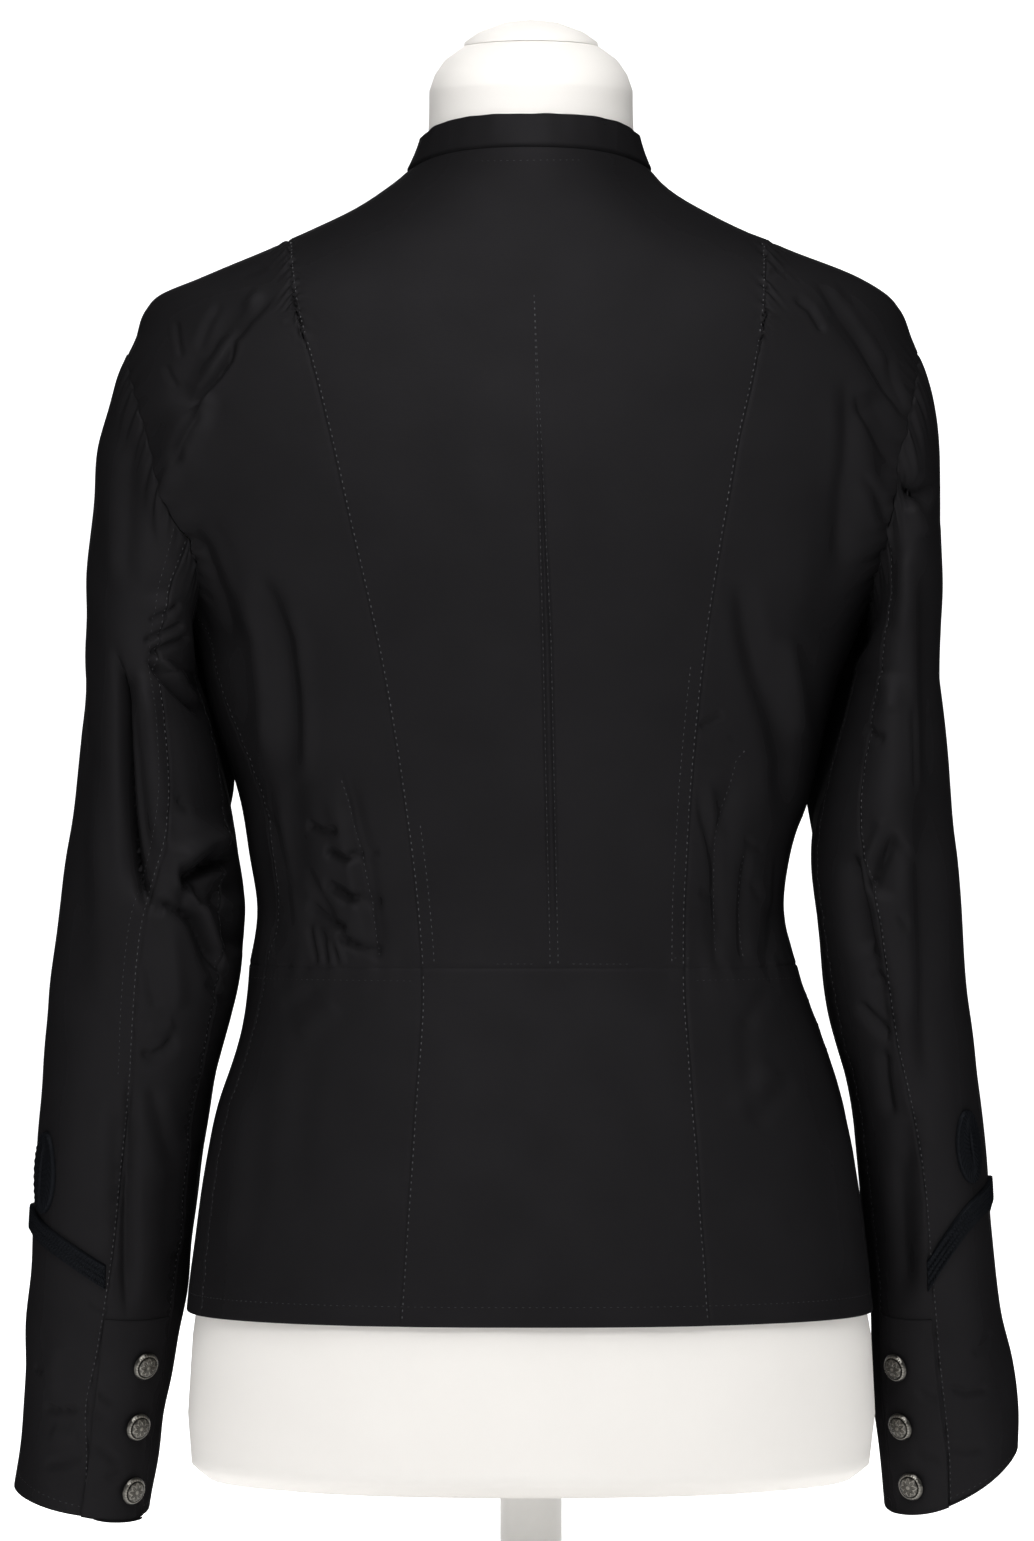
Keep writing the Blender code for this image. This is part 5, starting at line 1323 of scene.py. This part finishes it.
def vary_colour(tree, shader, amount, low, high):
    """Mixes two colours by a value and feeds the base colour."""
    ramp = tree.nodes.new("ShaderNodeMix")
    ramp.data_type = "RGBA"
    ramp.inputs["A"].default_value = (*low, 1.0)
    ramp.inputs["B"].default_value = (*high, 1.0)
    tree.links.new(amount, ramp.inputs["Factor"])
    tree.links.new(ramp.outputs["Result"], shader.inputs["Base Color"])


def add_bump(tree, shader, place, bumps):
    """Chains bumps, each a noise, its strength and its depth."""
    normal = None
    for noise, strength, depth in bumps:
        bump = tree.nodes.new("ShaderNodeBump")
        bump.inputs["Strength"].default_value = strength
        bump.inputs["Distance"].default_value = depth
        tree.links.new(add_noise(tree, place, *noise), bump.inputs["Height"])
        if normal is not None:
            tree.links.new(normal, bump.inputs["Normal"])
        normal = bump.outputs["Normal"]
    if normal is not None:
        tree.links.new(normal, shader.inputs["Normal"])


def add_wear(tree, speck):
    """How bright the metal is: its worn attribute, made uneven by specks, from 0 to 1."""
    worn = tree.nodes.new("ShaderNodeAttribute")
    worn.attribute_name = "worn"
    specked = tree.nodes.new("ShaderNodeMath")
    specked.operation = "MULTIPLY_ADD"
    specked.inputs[1].default_value = SPECK_SHARE
    tree.links.new(speck, specked.inputs[0])
    tree.links.new(worn.outputs["Fac"], specked.inputs[2])
    shift = tree.nodes.new("ShaderNodeMath")
    shift.operation = "SUBTRACT"
    shift.use_clamp = True
    shift.inputs[1].default_value = SPECK_SHARE / 2
    tree.links.new(specked.outputs[0], shift.inputs[0])
    return shift.outputs[0]


def make_material(name):
    """Builds one material of the table."""
    facts = MATERIALS[name]
    material, tree, shader, place = node_material(name, *facts["base"])
    noise, low, high = facts["mix"]
    amount = add_noise(tree, place, *noise)
    if name == "antique_metal":
        amount = add_wear(tree, amount)
    vary_colour(tree, shader, amount, low, high)
    add_bump(tree, shader, place, facts["bumps"])
    return material


CLOTH_MATERIAL, BRAID_MATERIAL, GLINT_THREAD_MATERIAL, METAL_MATERIAL, COVER_MATERIAL, PAINT_MATERIAL = (
    make_material(name) for name in MATERIALS
)


def back_sheets():
    """The back above the waist seam: one middle piece and a piece at each side."""
    rows = ROW_TIP * spread(*BACK_CENTRE_ROWS, (ROW_UNDERARM / ROW_TIP,))
    top = np.concatenate([np.linspace(0, 1, 12)[:-1], NECK_EDGE_SHARES])
    rows = np.concatenate([rows[:-len(EDGE_STEPS)], ROW_TIP + (ROW_NECK_BACK - ROW_TIP) * top])
    edges = {side: princess_edge(side, np.minimum(rows, ROW_TIP)) for side in SIGN}
    across = spread(*BACK_CENTRE_COLUMNS)
    low, high = TUCK_COLUMNS
    tuck = np.linspace(low, high, TUCK_COLUMN_COUNT)
    u = np.concatenate([across[across < low - TUCK_ROOM], tuck, across[across > high + TUCK_ROOM]])
    angles, heights = blend(edges["right"], edges["left"], u)
    share = np.clip((rows - ROW_TIP) / (ROW_NECK_BACK - ROW_TIP), 0, 1)[:, None]
    level = (-math.pi / 2 + math.pi * u)[None, :]
    angles = angles * (1 - share) + level * share
    heights = heights + (neckline(level) - PRINCESS_TOP) * share
    sheet("back_centre", *body_surface(angles, heights), CLOTH_MATERIAL, dips={"bottom": WAIST_DIP})
    rows = ROW_TIP * spread(*BACK_SIDE_ROWS, (ROW_UNDERARM / ROW_TIP,))
    dips = {"last": FAINT_DIP, "bottom": WAIST_DIP}
    for side in SIGN:
        grid = blend(princess_edge(side, rows), side_edge(side, False, rows), spread(*BACK_SIDE_COLUMNS))
        sheet(f"back_side_{side}", *body_surface(*grid), CLOTH_MATERIAL, dips=dips)


def front_sheets():
    """The two fronts above the waist seam, the right one lapped over the left."""
    breaks = (ROW_UNDERARM / ROW_NECK_FRONT, ROW_TIP / ROW_NECK_FRONT)
    rows = ROW_NECK_FRONT * spread(*FRONT_ROWS, breaks)
    share = np.clip((rows - ROW_TIP) / (ROW_NECK_FRONT - ROW_TIP), 0, 1)
    stops = (WAIST, FRONT_LOW, FRONT_HIGH, neckline(math.pi))
    levels = np.interp(rows, (0, ROW_UNDERARM, ROW_TIP, ROW_NECK_FRONT), stops)
    for side in SIGN:
        angles, heights = side_edge(side, True, rows)
        heights = np.where(share > 0, SHOULDER_TIP + (NECK_SIDE - SHOULDER_TIP) * share, heights)
        angles = np.where(share > 0, SIGN[side] * math.pi / 2, angles)
        angles, heights = front_grid(side, (angles, heights), levels)
        bend = neckline(angles[-1]) - heights[-1]
        heights = heights + share[:, None] ** 2 * bend[None, :]
        points, normals = body_surface(angles, heights, lapped=side == "right")
        sheet(f"front_{side}", points, normals, CLOTH_MATERIAL, ("last",))


def peplum_sheets():
    """The pieces below the waist seam, down to the hem."""
    heights = HEM + (WAIST - HEM) * spread(WAIST - HEM, PEPLUM_ROW_STEP)
    seams = {side: angle_at_x(read(PRINCESS, side, heights), heights, side) for side in SIGN}
    dips = {"top": WAIST_DIP}
    grid = blend((seams["right"], heights), (seams["left"], heights), spread(*PEPLUM_BACK_COLUMNS))
    sheet("peplum_back", *body_surface(*grid), CLOTH_MATERIAL, ("bottom",), dips)
    for side in SIGN:
        side_seam = angle_at_y(read(SIDE_SEAM, side, heights), heights, side)
        grid = blend((seams[side], heights), (side_seam, heights), spread(*PEPLUM_SIDE_COLUMNS))
        sheet(f"peplum_side_{side}", *body_surface(*grid), CLOTH_MATERIAL, ("bottom",), dips)
        grid = front_grid(side, (side_seam, heights), heights)
        points, normals = body_surface(*grid, lapped=side == "right")
        sheet(f"peplum_front_{side}", points, normals, CLOTH_MATERIAL, ("bottom", "last"))


def collar_angles():
    """Angles of the collar's columns, from centre front round the back to centre front."""
    across = np.linspace(-math.pi / 2, math.pi / 2, int(2 * COLLAR_QUARTER / COLLAR_STEP))
    count = int(COLLAR_QUARTER / COLLAR_STEP)
    left = np.linspace(math.pi / 2, math.pi - COLLAR_STOP, count)[1:]
    right = np.linspace(COLLAR_STOP - math.pi, -math.pi / 2, count)[:-1]
    return np.concatenate([right, across, left])


def collar_sheet():
    """The stand collar, rolled a little over the neck seam and rounded along its top."""
    angles = collar_angles()[None, :]
    rows = [*COLLAR_FOOT_SHARES, *np.linspace(0.14, 0.88, 12), *COLLAR_TOP_SHARES]
    rows = np.array(rows)[:, None]
    points, normals = body_surface(angles, neckline(angles) + COLLAR_RISE * rows)
    proud = COLLAR_STEP_OUT * ease(rows, run=COLLAR_STEP_RUN) + COLLAR_BELLY * np.sin(np.pi * rows)
    wave, seed = COLLAR_RIPPLE
    proud = proud + COLLAR_WAVE * ripple(angles, wave, seed) * rows
    dips = {"bottom": COLLAR_DIP, "first": COLLAR_END_DIP, "last": COLLAR_END_DIP}
    sheet("collar_stand", points + normals * proud[..., None], normals, CLOTH_MATERIAL, ("top",), dips)


def sleeve_sheets():
    """Each sleeve is a wide upper piece and a narrow under piece."""
    edge = np.array(EDGE_STEPS) / SLEEVE_CAP_LENGTH
    cap = np.concatenate([edge[:-1], np.linspace(edge[-1], 1, SLEEVE_CAP_ROWS)[:-1]])
    tube = np.linspace(1.0, SLEEVE_TUBE_STOP, SLEEVE_TUBE_ROWS)
    down = np.concatenate([cap, tube, SLEEVE_HEM_ROWS])
    coarse = spread(*SLEEVE_WIDE_COLUMNS)
    fine = spread(*SLEEVE_FINE_COLUMNS)
    u = np.concatenate([coarse[coarse < SLEEVE_FINE_START], fine[fine > SLEEVE_FINE_START + 0.005]])
    narrow = spread(*SLEEVE_UNDER_COLUMNS)
    dips = {"bottom": FAINT_DIP}
    for side in SIGN:
        back = seam_turn(side, "back_seam", down)
        under = seam_turn(side, "under_seam", down)
        upper_grid = blend((under - 2 * math.pi, down), (back, down), u)
        under_grid = blend((back, down), (under, down), narrow)
        for name, grid in (("upper", upper_grid), ("under", under_grid)):
            sheet(f"sleeve_{name}_{side}", *sleeve_surface(side, *grid), CLOTH_MATERIAL, ("top",), dips)


def down_at(height):
    """The sleeve parameter of a height below the top of the tube."""
    return 1 + (SLEEVE_TOP - height) / (SLEEVE_TOP - CUFF)


def on_sleeve(side, turn_degrees, around, height, lift):
    """Points above a sleeve, given as distances round it from a turn, and heights."""
    radius = read(SLEEVES[side], "half_depth", height)
    turn = math.radians(turn_degrees) + around / radius
    points, normals = sleeve_surface(side, turn, down_at(height))
    return points + normals * np.asarray(lift)[..., None], normals


def vent_sheets():
    """The lapped strip of each cuff opening, on the under side of the sleeve's back seam."""
    rows = spread(VENT_TOP - CUFF - VENT_HEM_RISE, VENT_ROW_STEP)[:, None]
    heights = VENT_TOP + (CUFF + VENT_HEM_RISE - VENT_TOP) * rows
    lift = VENT_LIFT - VENT_TAPER * (1 - ease(rows, run=VENT_TAPER_RUN))
    for side, (start, end) in VENT.items():
        turn = np.radians(start + (end - start) * spread(*VENT_COLUMNS))[None, :]
        points, normals = sleeve_surface(side, turn, down_at(heights))
        points = points + normals * lift[..., None]
        sheet(f"cuff_vent_{side}", points, normals, CLOTH_MATERIAL, tuple(RIMS), thick=VENT_WALL)


def braids():
    """A flat ribbed braid chevron and a loop above its point on each sleeve."""
    lift = BRAID_GAP + BRAID_THICKNESS
    along = np.linspace(-1.0, 1.0, BRAID_GRID[1])
    share = np.linspace(-1.0, 1.0, BRAID_GRID[0])[:, None]
    around = along[None, :] * BRAID_SPREAD + 0 * share
    zigzag = np.abs(((share * 2.0) % 1.0) - 0.5) * 2
    off = np.abs(share)
    edges = BRAID_RIM_HEIGHT * ease(off, *BRAID_RIM)
    edges = edges - BRAID_EDGE_DROP * np.clip((off - BRAID_EDGE) / (1 - BRAID_EDGE), 0, 1) ** 2
    ends = np.clip((np.abs(along[None, :]) - BRAID_END) / (1 - BRAID_END), 0, 1)
    edges = edges - BRAID_END_DROP * ends ** 2
    for side, place in BRAID.items():
        middle, half_height = braid_line(place, along)
        heights = middle[None, :] + half_height * share
        run = along[None, :] * math.hypot(BRAID_SPREAD, place["drop"])
        ribs = np.sin(2 * np.pi * (run / BRAID_RIB + zigzag * BRAID_ZIGZAG)) * BRAID_RIB_HEIGHT
        ribs = ribs * ease(BRAID_RIB_STOP - off, run=BRAID_RIB_FADE)
        points, normals = on_sleeve(side, place["angle"], around, heights, lift + ribs + edges)
        closed_wall(f"braid_{side}", points, normals, lift - BRAID_GAP / 2, f"cuff_braid_{side}")
        loop(side, LOOP[side], lift)


def braid_line(place, along):
    """Height of the braid's middle, and half of its upright height, from the chevron's point to its ends."""
    away = np.abs(along)
    middle = place["point"] - place["drop"] * away + place["bow"] * np.sin(np.pi * away)
    slope = (place["drop"] - place["bow"] * np.pi * np.cos(np.pi * away)) / BRAID_SPREAD
    return middle, BRAID_WIDTH / 2 * np.hypot(1, slope)


def closed_wall(name, points, normals, depth, node):
    """A closed strip: a grid of points, joined to its own rim moved inwards."""
    rows, cells = points.shape[:2]
    at = np.arange(rows * cells).reshape(rows, cells)
    faces = np.stack([at[:-1, :-1], at[:-1, 1:], at[1:, 1:], at[1:, :-1]], -1).reshape(-1, 4)
    rim = rim_of(at)
    low = (points - normals * depth).reshape(-1, 3)[rim]
    below = rows * cells + np.arange(len(rim))
    sides = np.stack([rim, np.roll(rim, -1), np.roll(below, -1), below], -1)
    vertices = np.concatenate([points.reshape(-1, 3), low])
    every = np.concatenate([faces, sides])
    ring = np.cross(points[0, 1] - points[0, 0], points[1, 0] - points[0, 0])
    if (ring * normals[0, 0]).sum() < 0:
        every = every[:, ::-1]
    piece = mesh_object(name, vertices, every, BRAID_MATERIAL, sharp=60)
    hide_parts(node)


def loop(side, place, lift):
    """An upright oval loop of braid, closed but for a narrow slit in its middle."""
    turn = np.linspace(0, 2 * math.pi, LOOP_GRID[1])[None, :]
    half_high = (place["top"] - place["foot"]) / 2
    share = np.linspace(0.0, 1.0, LOOP_GRID[0])[:, None]
    wide = LOOP_WIDTH / 2 + (LOOP_SLIT / 2 - LOOP_WIDTH / 2) * share
    high = half_high - LOOP_END * share
    wave = turn * LOOP_RIBS / (2 * math.pi) + LOOP_RIB_SLANT * np.abs(share - 0.5)
    ribs = LOOP_RIB_HEIGHT * np.sin(2 * np.pi * wave)
    rim = LOOP_RIM_HEIGHT * (bell(share, 0, LOOP_RIM_WIDTH) + bell(share, 1, LOOP_RIM_WIDTH))
    edges = np.clip(1 - share / LOOP_EDGE, 0, 1) + np.clip(1 - (1 - share) / LOOP_EDGE, 0, 1)
    heights = place["foot"] + half_high + high * np.sin(turn)
    lift = lift + ribs + rim - LOOP_EDGE_DROP * edges
    points, normals = on_sleeve(side, place["angle"], wide * np.cos(turn), heights, lift)
    depth = BRAID_THICKNESS + BRAID_GAP / 2
    closed_wall(f"loop_{side}", points, normals, depth, f"cuff_loop_{side}")


def button_profile(around, spin):
    """Shares of the radius, and the height and wear of a button's face, ring by ring."""
    share = np.array(BUTTON_RINGS)[:, None]
    dome = BUTTON_RIM + (BUTTON_TOP - BUTTON_RIM) * np.sqrt(np.clip(1 - share ** 2, 0, 1)) ** DOME_CURVE
    petals = np.cos(PETALS / 2 * (around + spin)) ** 2
    field = ease(FIELD_STOP - share, run=FACE_FADE) * ease(share, BOSS_STOP + 0.01, FACE_FADE)
    edge = PETAL_HEIGHT * bell(share, PETAL_FOOT + PETAL_REACH * petals, PETAL_WIDTH)
    vein = VEIN_HEIGHT * bell(np.sin(PETALS * (around + spin)), 0, VEIN_WIDTH)
    vein = vein * ease(VEIN_STOP - share, run=VEIN_FADE)
    relief = field * (edge + vein) + BOSS_HEIGHT * ease(BOSS_STOP - share, run=FACE_FADE)
    rope = ROPE_HEIGHT + STRAND_HEIGHT * np.sin(ROPE_TURNS * around + ROPE_SLANT * share)
    rope = rope * bell(share, ROPE_PLACE, ROPE_WIDTH)
    raised = relief + rope - GROOVE_DEPTH * bell(share, GROOVE_PLACE, GROOVE_WIDTH)
    return share, dome + raised, np.clip(WORN_BASE + raised / WORN_HEIGHT, 0, 1)


def button_mesh(node, seat, normal, spin):
    """A domed button with a rope rim and a plain eight-petal rosette, worn bright on what stands proud."""
    around = np.linspace(0, 2 * math.pi, BUTTON_SIDES + 1)[:-1][None, :]
    share, height, worn = button_profile(around, spin)
    radius = BUTTON_RADIUS * share * (1 - BUTTON_ROUND * ease(share, 0.97, 0.03))
    front = np.stack([radius * np.cos(around), radius * np.sin(around), height], -1).reshape(-1, 3)
    count = around.shape[1]
    back = [
        np.stack([r * np.cos(around[0]), r * np.sin(around[0]), np.full(count, h)], -1)
        for r, h in BUTTON_BACK
    ]
    vertices = np.concatenate([front, *back])
    worn = np.concatenate([worn.reshape(-1), np.zeros(len(back) * count)])
    at = np.arange(len(vertices)).reshape(-1, count)
    after = np.roll(at, -1, axis=1)
    faces = np.stack([at[:-1], at[1:], after[1:], after[:-1]], -1).reshape(-1, 4)
    turn = Vector(normal).to_track_quat("Z", "Y").to_matrix()
    placed = vertices @ np.array(turn).T + np.asarray(seat)
    piece = mesh_object(f"metal_{node}", placed, faces, METAL_MATERIAL, sharp=70)
    mark = piece.data.attributes.new("worn", "FLOAT", "POINT")
    mark.data.foreach_set("value", worn.astype(np.float32)[:len(piece.data.vertices)])
    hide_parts(node)


def buttons():
    """Three buttons on each cuff vent and a row down the centre front."""
    lift = VENT_LIFT + LAY_GAP
    for side, places in CUFF_BUTTONS.items():
        for i, (turn, height) in enumerate(places):
            point, normal = sleeve_surface(side, math.radians(turn), down_at(height))
            name = f"cuff_button_{side}_{i + 1}"
            button_mesh(name, point + normal * lift, normal, BUTTON_SPIN["cuff"] * i)
    for i in range(FRONT_BUTTON_COUNT):
        height = np.array(FRONT_BUTTON_TOP - i * FRONT_BUTTON_SPACING)
        point, normal = body_surface(np.array(-math.pi), height, lapped=True)
        name = f"front_button_{i + 1}"
        button_mesh(name, point + normal * 2 * LAY_GAP, normal, BUTTON_SPIN["front"] * i)


STITCHES = {}

# A grain of thread: a point at each end, and between them two sections of three points each
STITCH_INSET = 0.22
STITCH_SECTION = ((1, 0.1), (0, 1.0), (-1, 0.1))
STITCH_FACES = ((0, 2, 1), (0, 3, 2), (1, 2, 5, 4), (2, 3, 6, 5), (7, 4, 5), (7, 5, 6))


def stitch_line(group, points, normals, phase=0.0, radius=STITCH_RADIUS):
    """Lays grains of thread along a line on the cloth, each half sunk in it."""
    steps = np.linalg.norm(np.diff(points, axis=0), axis=1)
    run = np.concatenate([[0.0], np.cumsum(steps)])
    starts = np.arange(phase * STITCH_PITCH, run[-1] - STITCH_LENGTH, STITCH_PITCH)

    def along(values, at):
        return np.stack([np.interp(at, run, values[:, axis]) for axis in range(3)], -1)

    first = along(points, starts)
    last = along(points, starts + STITCH_LENGTH)
    up = unit(along(normals, starts + STITCH_LENGTH / 2))
    wide = np.cross(up, unit(last - first))
    STITCHES.setdefault(group, []).append((first, last, up, wide, radius))


def build_stitches():
    """Makes one mesh of thread for each group of stitch lines."""
    for group, lines in STITCHES.items():
        vertices = []
        faces = []
        for start, end, up, wide, radius in lines:
            inset = (end - start) * STITCH_INSET
            rings = [start - up * radius * 0.5]
            for base in (start + inset, end - inset):
                for across, rise in STITCH_SECTION:
                    rings.append(base + wide * radius * across + up * radius * rise)
            rings.append(end - up * radius * 0.5)
            first = sum(len(v) for v in vertices) + np.arange(len(start))[:, None] * len(rings)
            for corners in STITCH_FACES:
                faces += (first + np.array(corners)[None, :]).tolist()
            vertices.append(np.stack(rings, axis=1).reshape(-1, 3))
        # The thread's lighter colour is a painted glint on each stitch
        mesh_object(f"stitches_{group}", np.concatenate(vertices), faces, GLINT_THREAD_MATERIAL, sharp=180)


def stitches():
    """Every line of topstitching that shows, and its like on the hidden sides."""
    above, below, side_above, side_below = (np.linspace(*run) for run in STITCH_RUNS)
    for side in SIGN:
        second = np.linspace(WAIST + 0.002, SECOND_LINE[side], 220)
        lines = (
            (above, NEAR_SEAM, 0.0, STITCH_RADIUS),
            (below, NEAR_SEAM, 0.0, STITCH_RADIUS),
            (second, SECOND_OFFSET, SECOND_PHASE, FAINT),
        )
        for levels, offset, phase, radius in lines:
            angles = angle_at_x(read(PRINCESS, side, levels) - offset, levels, side)
            stitch_line("back", *body_surface(angles, levels), phase, radius)
        for levels in (side_above, side_below):
            angles = angle_at_y(read(SIDE_SEAM, side, levels) + SIDE_OFFSET, levels, side)
            stitch_line("body_sides", *body_surface(angles, levels), radius=FAINT)
        start = angle_at_x(read(PRINCESS, side, WAIST) + WAIST_START, WAIST, side)
        angles = np.linspace(start, SIGN[side] * FRONT_STOP, WAIST_POINTS)
        stitch_line("waist", *body_surface(angles, WAIST - WAIST_OFFSET), radius=FAINT / 3)
    groups = (
        ("back", (CENTRE_TUCK[0][0], CENTRE_TUCK[1][0]), 0.2, FAINT),
        ("back", SHORT_DASHES, 0.2, FAINT / 2),
        ("tucks", TUCK_STITCHES, 0.1, FAINT),
    )
    for group, paths, phase, radius in groups:
        for path in paths:
            stitch_line(group, *picture_line(path), phase, radius)
    angles = np.linspace(-FRONT_STOP, FRONT_STOP, HEM_POINTS)
    stitch_line("hem", *body_surface(angles, HEM + HEM_OFFSET), radius=FAINT / 2)
    down = np.linspace(*SLEEVE_STITCH_RUN)
    round_cuff = np.linspace(-math.pi, math.pi, CUFF_POINTS)
    for side in SIGN:
        group = f"sleeve_{side}"
        back = seam_turn(side, "back_seam", down)
        under = seam_turn(side, "under_seam", down)
        near_seam = sleeve_surface(side, back - SLEEVE_NEAR_SEAM, down)
        stitch_line(group, *near_seam, radius=SLEEVE_FIRST_SIZE * FAINT)
        if side == "left":
            part = down < SECOND_LINE_STOP
            second = sleeve_surface(side, back[part] - SLEEVE_SECOND_OFFSET, down[part])
            stitch_line(group, *second, radius=SLEEVE_SECOND_SIZE * FAINT)
        stitch_line(group, *sleeve_surface(side, under - SLEEVE_NEAR_SEAM, down), 0.3, FAINT)
        cuff = sleeve_surface(side, round_cuff, down_at(CUFF + CUFF_OFFSET))
        stitch_line(group, *cuff, radius=FAINT / 2)


def picture_line(path):
    """Points on the back's cloth along a path given in pixels of the photograph."""
    path = np.array(path, float)
    lengths = np.linalg.norm(np.diff(path, axis=0), axis=1)
    run = np.concatenate([[0.0], np.cumsum(lengths)])
    at = np.linspace(0, run[-1], PATH_POINTS)
    across = np.interp(at, run, path[:, 0])
    down = np.interp(at, run, path[:, 1])
    depth = np.full(PATH_POINTS, BACK_DEPTH)
    for _ in range(PICTURE_STEPS):
        scale = PIXEL * (CAMERA[1] - depth) / CAMERA[1]
        x = CAMERA[0] + (PICTURE[0] / 2 - across) * scale
        z = CAMERA[2] + (PICTURE[1] / 2 - down) * scale
        left, right = (angle_at_x(np.abs(x), z, side) for side in SIGN)
        angles = np.where(x >= 0, left, right)
        depth = body_base(angles, z)[..., 1]
    return body_surface(angles, z)


def discs(turn, rows):
    """Round rings for rows of height and radius."""
    return [section(turn, height, *[radius] * 4, 2.0) for height, radius in rows]


def torso_rings(turn):
    """Rings of the covered form, from the middle of its underside to the middle of its neck's top."""
    hip = columns("height left right back front squareness", FORM_HIP_ROWS)
    rings = [section(turn, FORM_FOOT, *[TIP] * 4, 2.0), section(turn, FORM_FOOT, *FORM_FOOT_INNER)]
    for height in FORM_HIP_HEIGHTS:
        sizes = [np.interp(height, hip["height"], hip[name]) for name in list(hip)[1:]]
        rings.append(section(turn, height, *sizes))
    for height in np.concatenate([np.linspace(*run) for run in FORM_BODY_RUNS]):
        levels = np.full(FORM_SIDES, height)
        inside = CLOTH + read(BODY, "clearance", levels)
        points = body_base(turn, levels) - surface_normals(body_base, turn, levels) * inside[:, None]
        past = np.abs(points[:, 0]) / FORM_SHOULDER
        points[:, 0] /= (1 + past ** FORM_SHOULDER_TURN) ** (1 / FORM_SHOULDER_TURN)
        rings.append(points)
    heights, radii = zip(*NECK_TOP_ROWS)
    levels = np.linspace(heights[0], heights[-1], NECK_TOP_RINGS)
    return rings + discs(turn, [*zip(levels, np.interp(levels, heights, radii)), (heights[-1], TIP)])


def form_pieces():
    """The covered form with its neck cap, and the painted pole and base."""
    turn = np.linspace(0, 2 * math.pi, FORM_SIDES + 1)[:-1]
    foot = BASE_THICKNESS + LAY_GAP
    top = FORM_FOOT - LAY_GAP
    pole = [(foot, TIP), (foot, POLE_RADIUS), (top, POLE_RADIUS), (top, TIP)]
    base = [(0.0, TIP), (0.0, BASE_RADIUS - BASE_FOOT_BEVEL), (BASE_FOOT_BEVEL, BASE_RADIUS)]
    for step in np.linspace(0, math.pi / 2, 7):
        height = BASE_THICKNESS - BASE_BEVEL + BASE_BEVEL * math.sin(step)
        base.append((height, BASE_RADIUS - BASE_BEVEL + BASE_BEVEL * math.cos(step)))
    base.append((BASE_THICKNESS, TIP))
    cap = [(CAP_ROWS[0][0], TIP), *CAP_ROWS]
    cover = (COVER_MATERIAL, "cream_cover")
    paint = (PAINT_MATERIAL, "white_paint")
    lathe("cover_torso", torso_rings(turn), *cover, "form_torso")
    lathe("cover_cap", discs(turn, cap), *cover, "form_cap")
    lathe("paint_pole", discs(turn, pole), *paint, "form_pole")
    lathe("paint_base", discs(turn, base), *paint, "form_base")


def lathe(name, rings, material, slot, node):
    """A closed stack of rings."""
    vertices = np.concatenate(rings)
    count = len(rings[0])
    at = np.arange(len(vertices)).reshape(len(rings), count)
    after = np.roll(at, -1, axis=1)
    faces = np.stack([at[:-1], at[1:], after[1:], after[:-1]], -1).reshape(-1, 4)
    piece = mesh_object(name, vertices, faces, material, sharp=45)
    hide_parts(node)


def link_new(name, data, place, turn=(0.0, 0.0, 0.0)):
    """Puts an object with this data into the scene."""
    thing = bpy.data.objects.new(name, data)
    thing.location = place
    thing.rotation_euler = turn
    bpy.context.collection.objects.link(thing)
    return thing


def lights():
    """Soft studio lights, each facing its aim, and a faint even light from all round."""
    for name, place, aim, energy, size in LIGHTS:
        data = bpy.data.lights.new(name, "AREA")
        data.energy = energy
        data.size = size
        turn = (Vector(aim) - Vector(place)).to_track_quat("-Z", "Y").to_euler()
        link_new(name, data, place, turn)
    world = bpy.data.worlds.new("studio")
    world.use_nodes = True
    background = world.node_tree.nodes["Background"]
    background.inputs["Color"].default_value = (1.0, 1.0, 1.0, 1.0)
    background.inputs["Strength"].default_value = WORLD_STRENGTH
    bpy.context.scene.world = world


def floor_material():
    """A pale floor that glows a little, and less so near the part."""
    material, tree, shader, place = node_material("pale_floor", (0.86, 0.86, 0.86), 0.9, 0.1)
    shader.inputs["Emission Color"].default_value = (1.0, 1.0, 1.0, 1.0)
    apart = tree.nodes.new("ShaderNodeSeparateXYZ")
    tree.links.new(place, apart.inputs[0])
    glow = tree.nodes.new("ShaderNodeMapRange")
    for socket, value in FLOOR_GLOW.items():
        glow.inputs[socket].default_value = value
    tree.links.new(apart.outputs["Y"], glow.inputs["Value"])
    tree.links.new(glow.outputs["Result"], shader.inputs["Emission Strength"])
    return material


def stage():
    """A plain pale floor that sweeps up behind, studio light, and the photograph's camera."""
    bend = STAGE_BEND
    profile = [(STAGE_NEAR, 0.0), (-STAGE_SIDE / STAGE_SPREAD, 0.0), (bend - STAGE_DEPTH, 0.0)]
    for step in np.linspace(0, math.pi / 2, 12)[1:]:
        profile.append((bend - STAGE_DEPTH - bend * math.sin(step), bend - bend * math.cos(step)))
    profile.append((-STAGE_DEPTH, STAGE_TOP))
    vertices = [
        (sign * max(STAGE_SIDE, -STAGE_SPREAD * y), y, z - STAGE_DROP)
        for sign in (-1, 1) for y, z in profile
    ]
    count = len(profile)
    faces = [(i, i + 1, count + i + 1, count + i) for i in range(count - 1)]
    mesh = bpy.data.meshes.new("floor")
    mesh.from_pydata(vertices, [], faces)
    mesh.shade_smooth()
    mesh.materials.append(floor_material())
    link_new("floor", mesh, (0.0, 0.0, 0.0))
    lights()
    data = bpy.data.cameras.new("camera")
    data.sensor_width = SENSOR
    data.lens = LENS
    data.clip_end = 50.0
    bpy.context.scene.camera = link_new("camera", data, CAMERA, (math.pi / 2, 0.0, math.pi))
    bpy.context.scene.view_settings.view_transform = "Standard"


back_sheets()
front_sheets()
peplum_sheets()
collar_sheet()
sleeve_sheets()
vent_sheets()
braids()
buttons()
stitches()
build_stitches()
form_pieces()
stage()
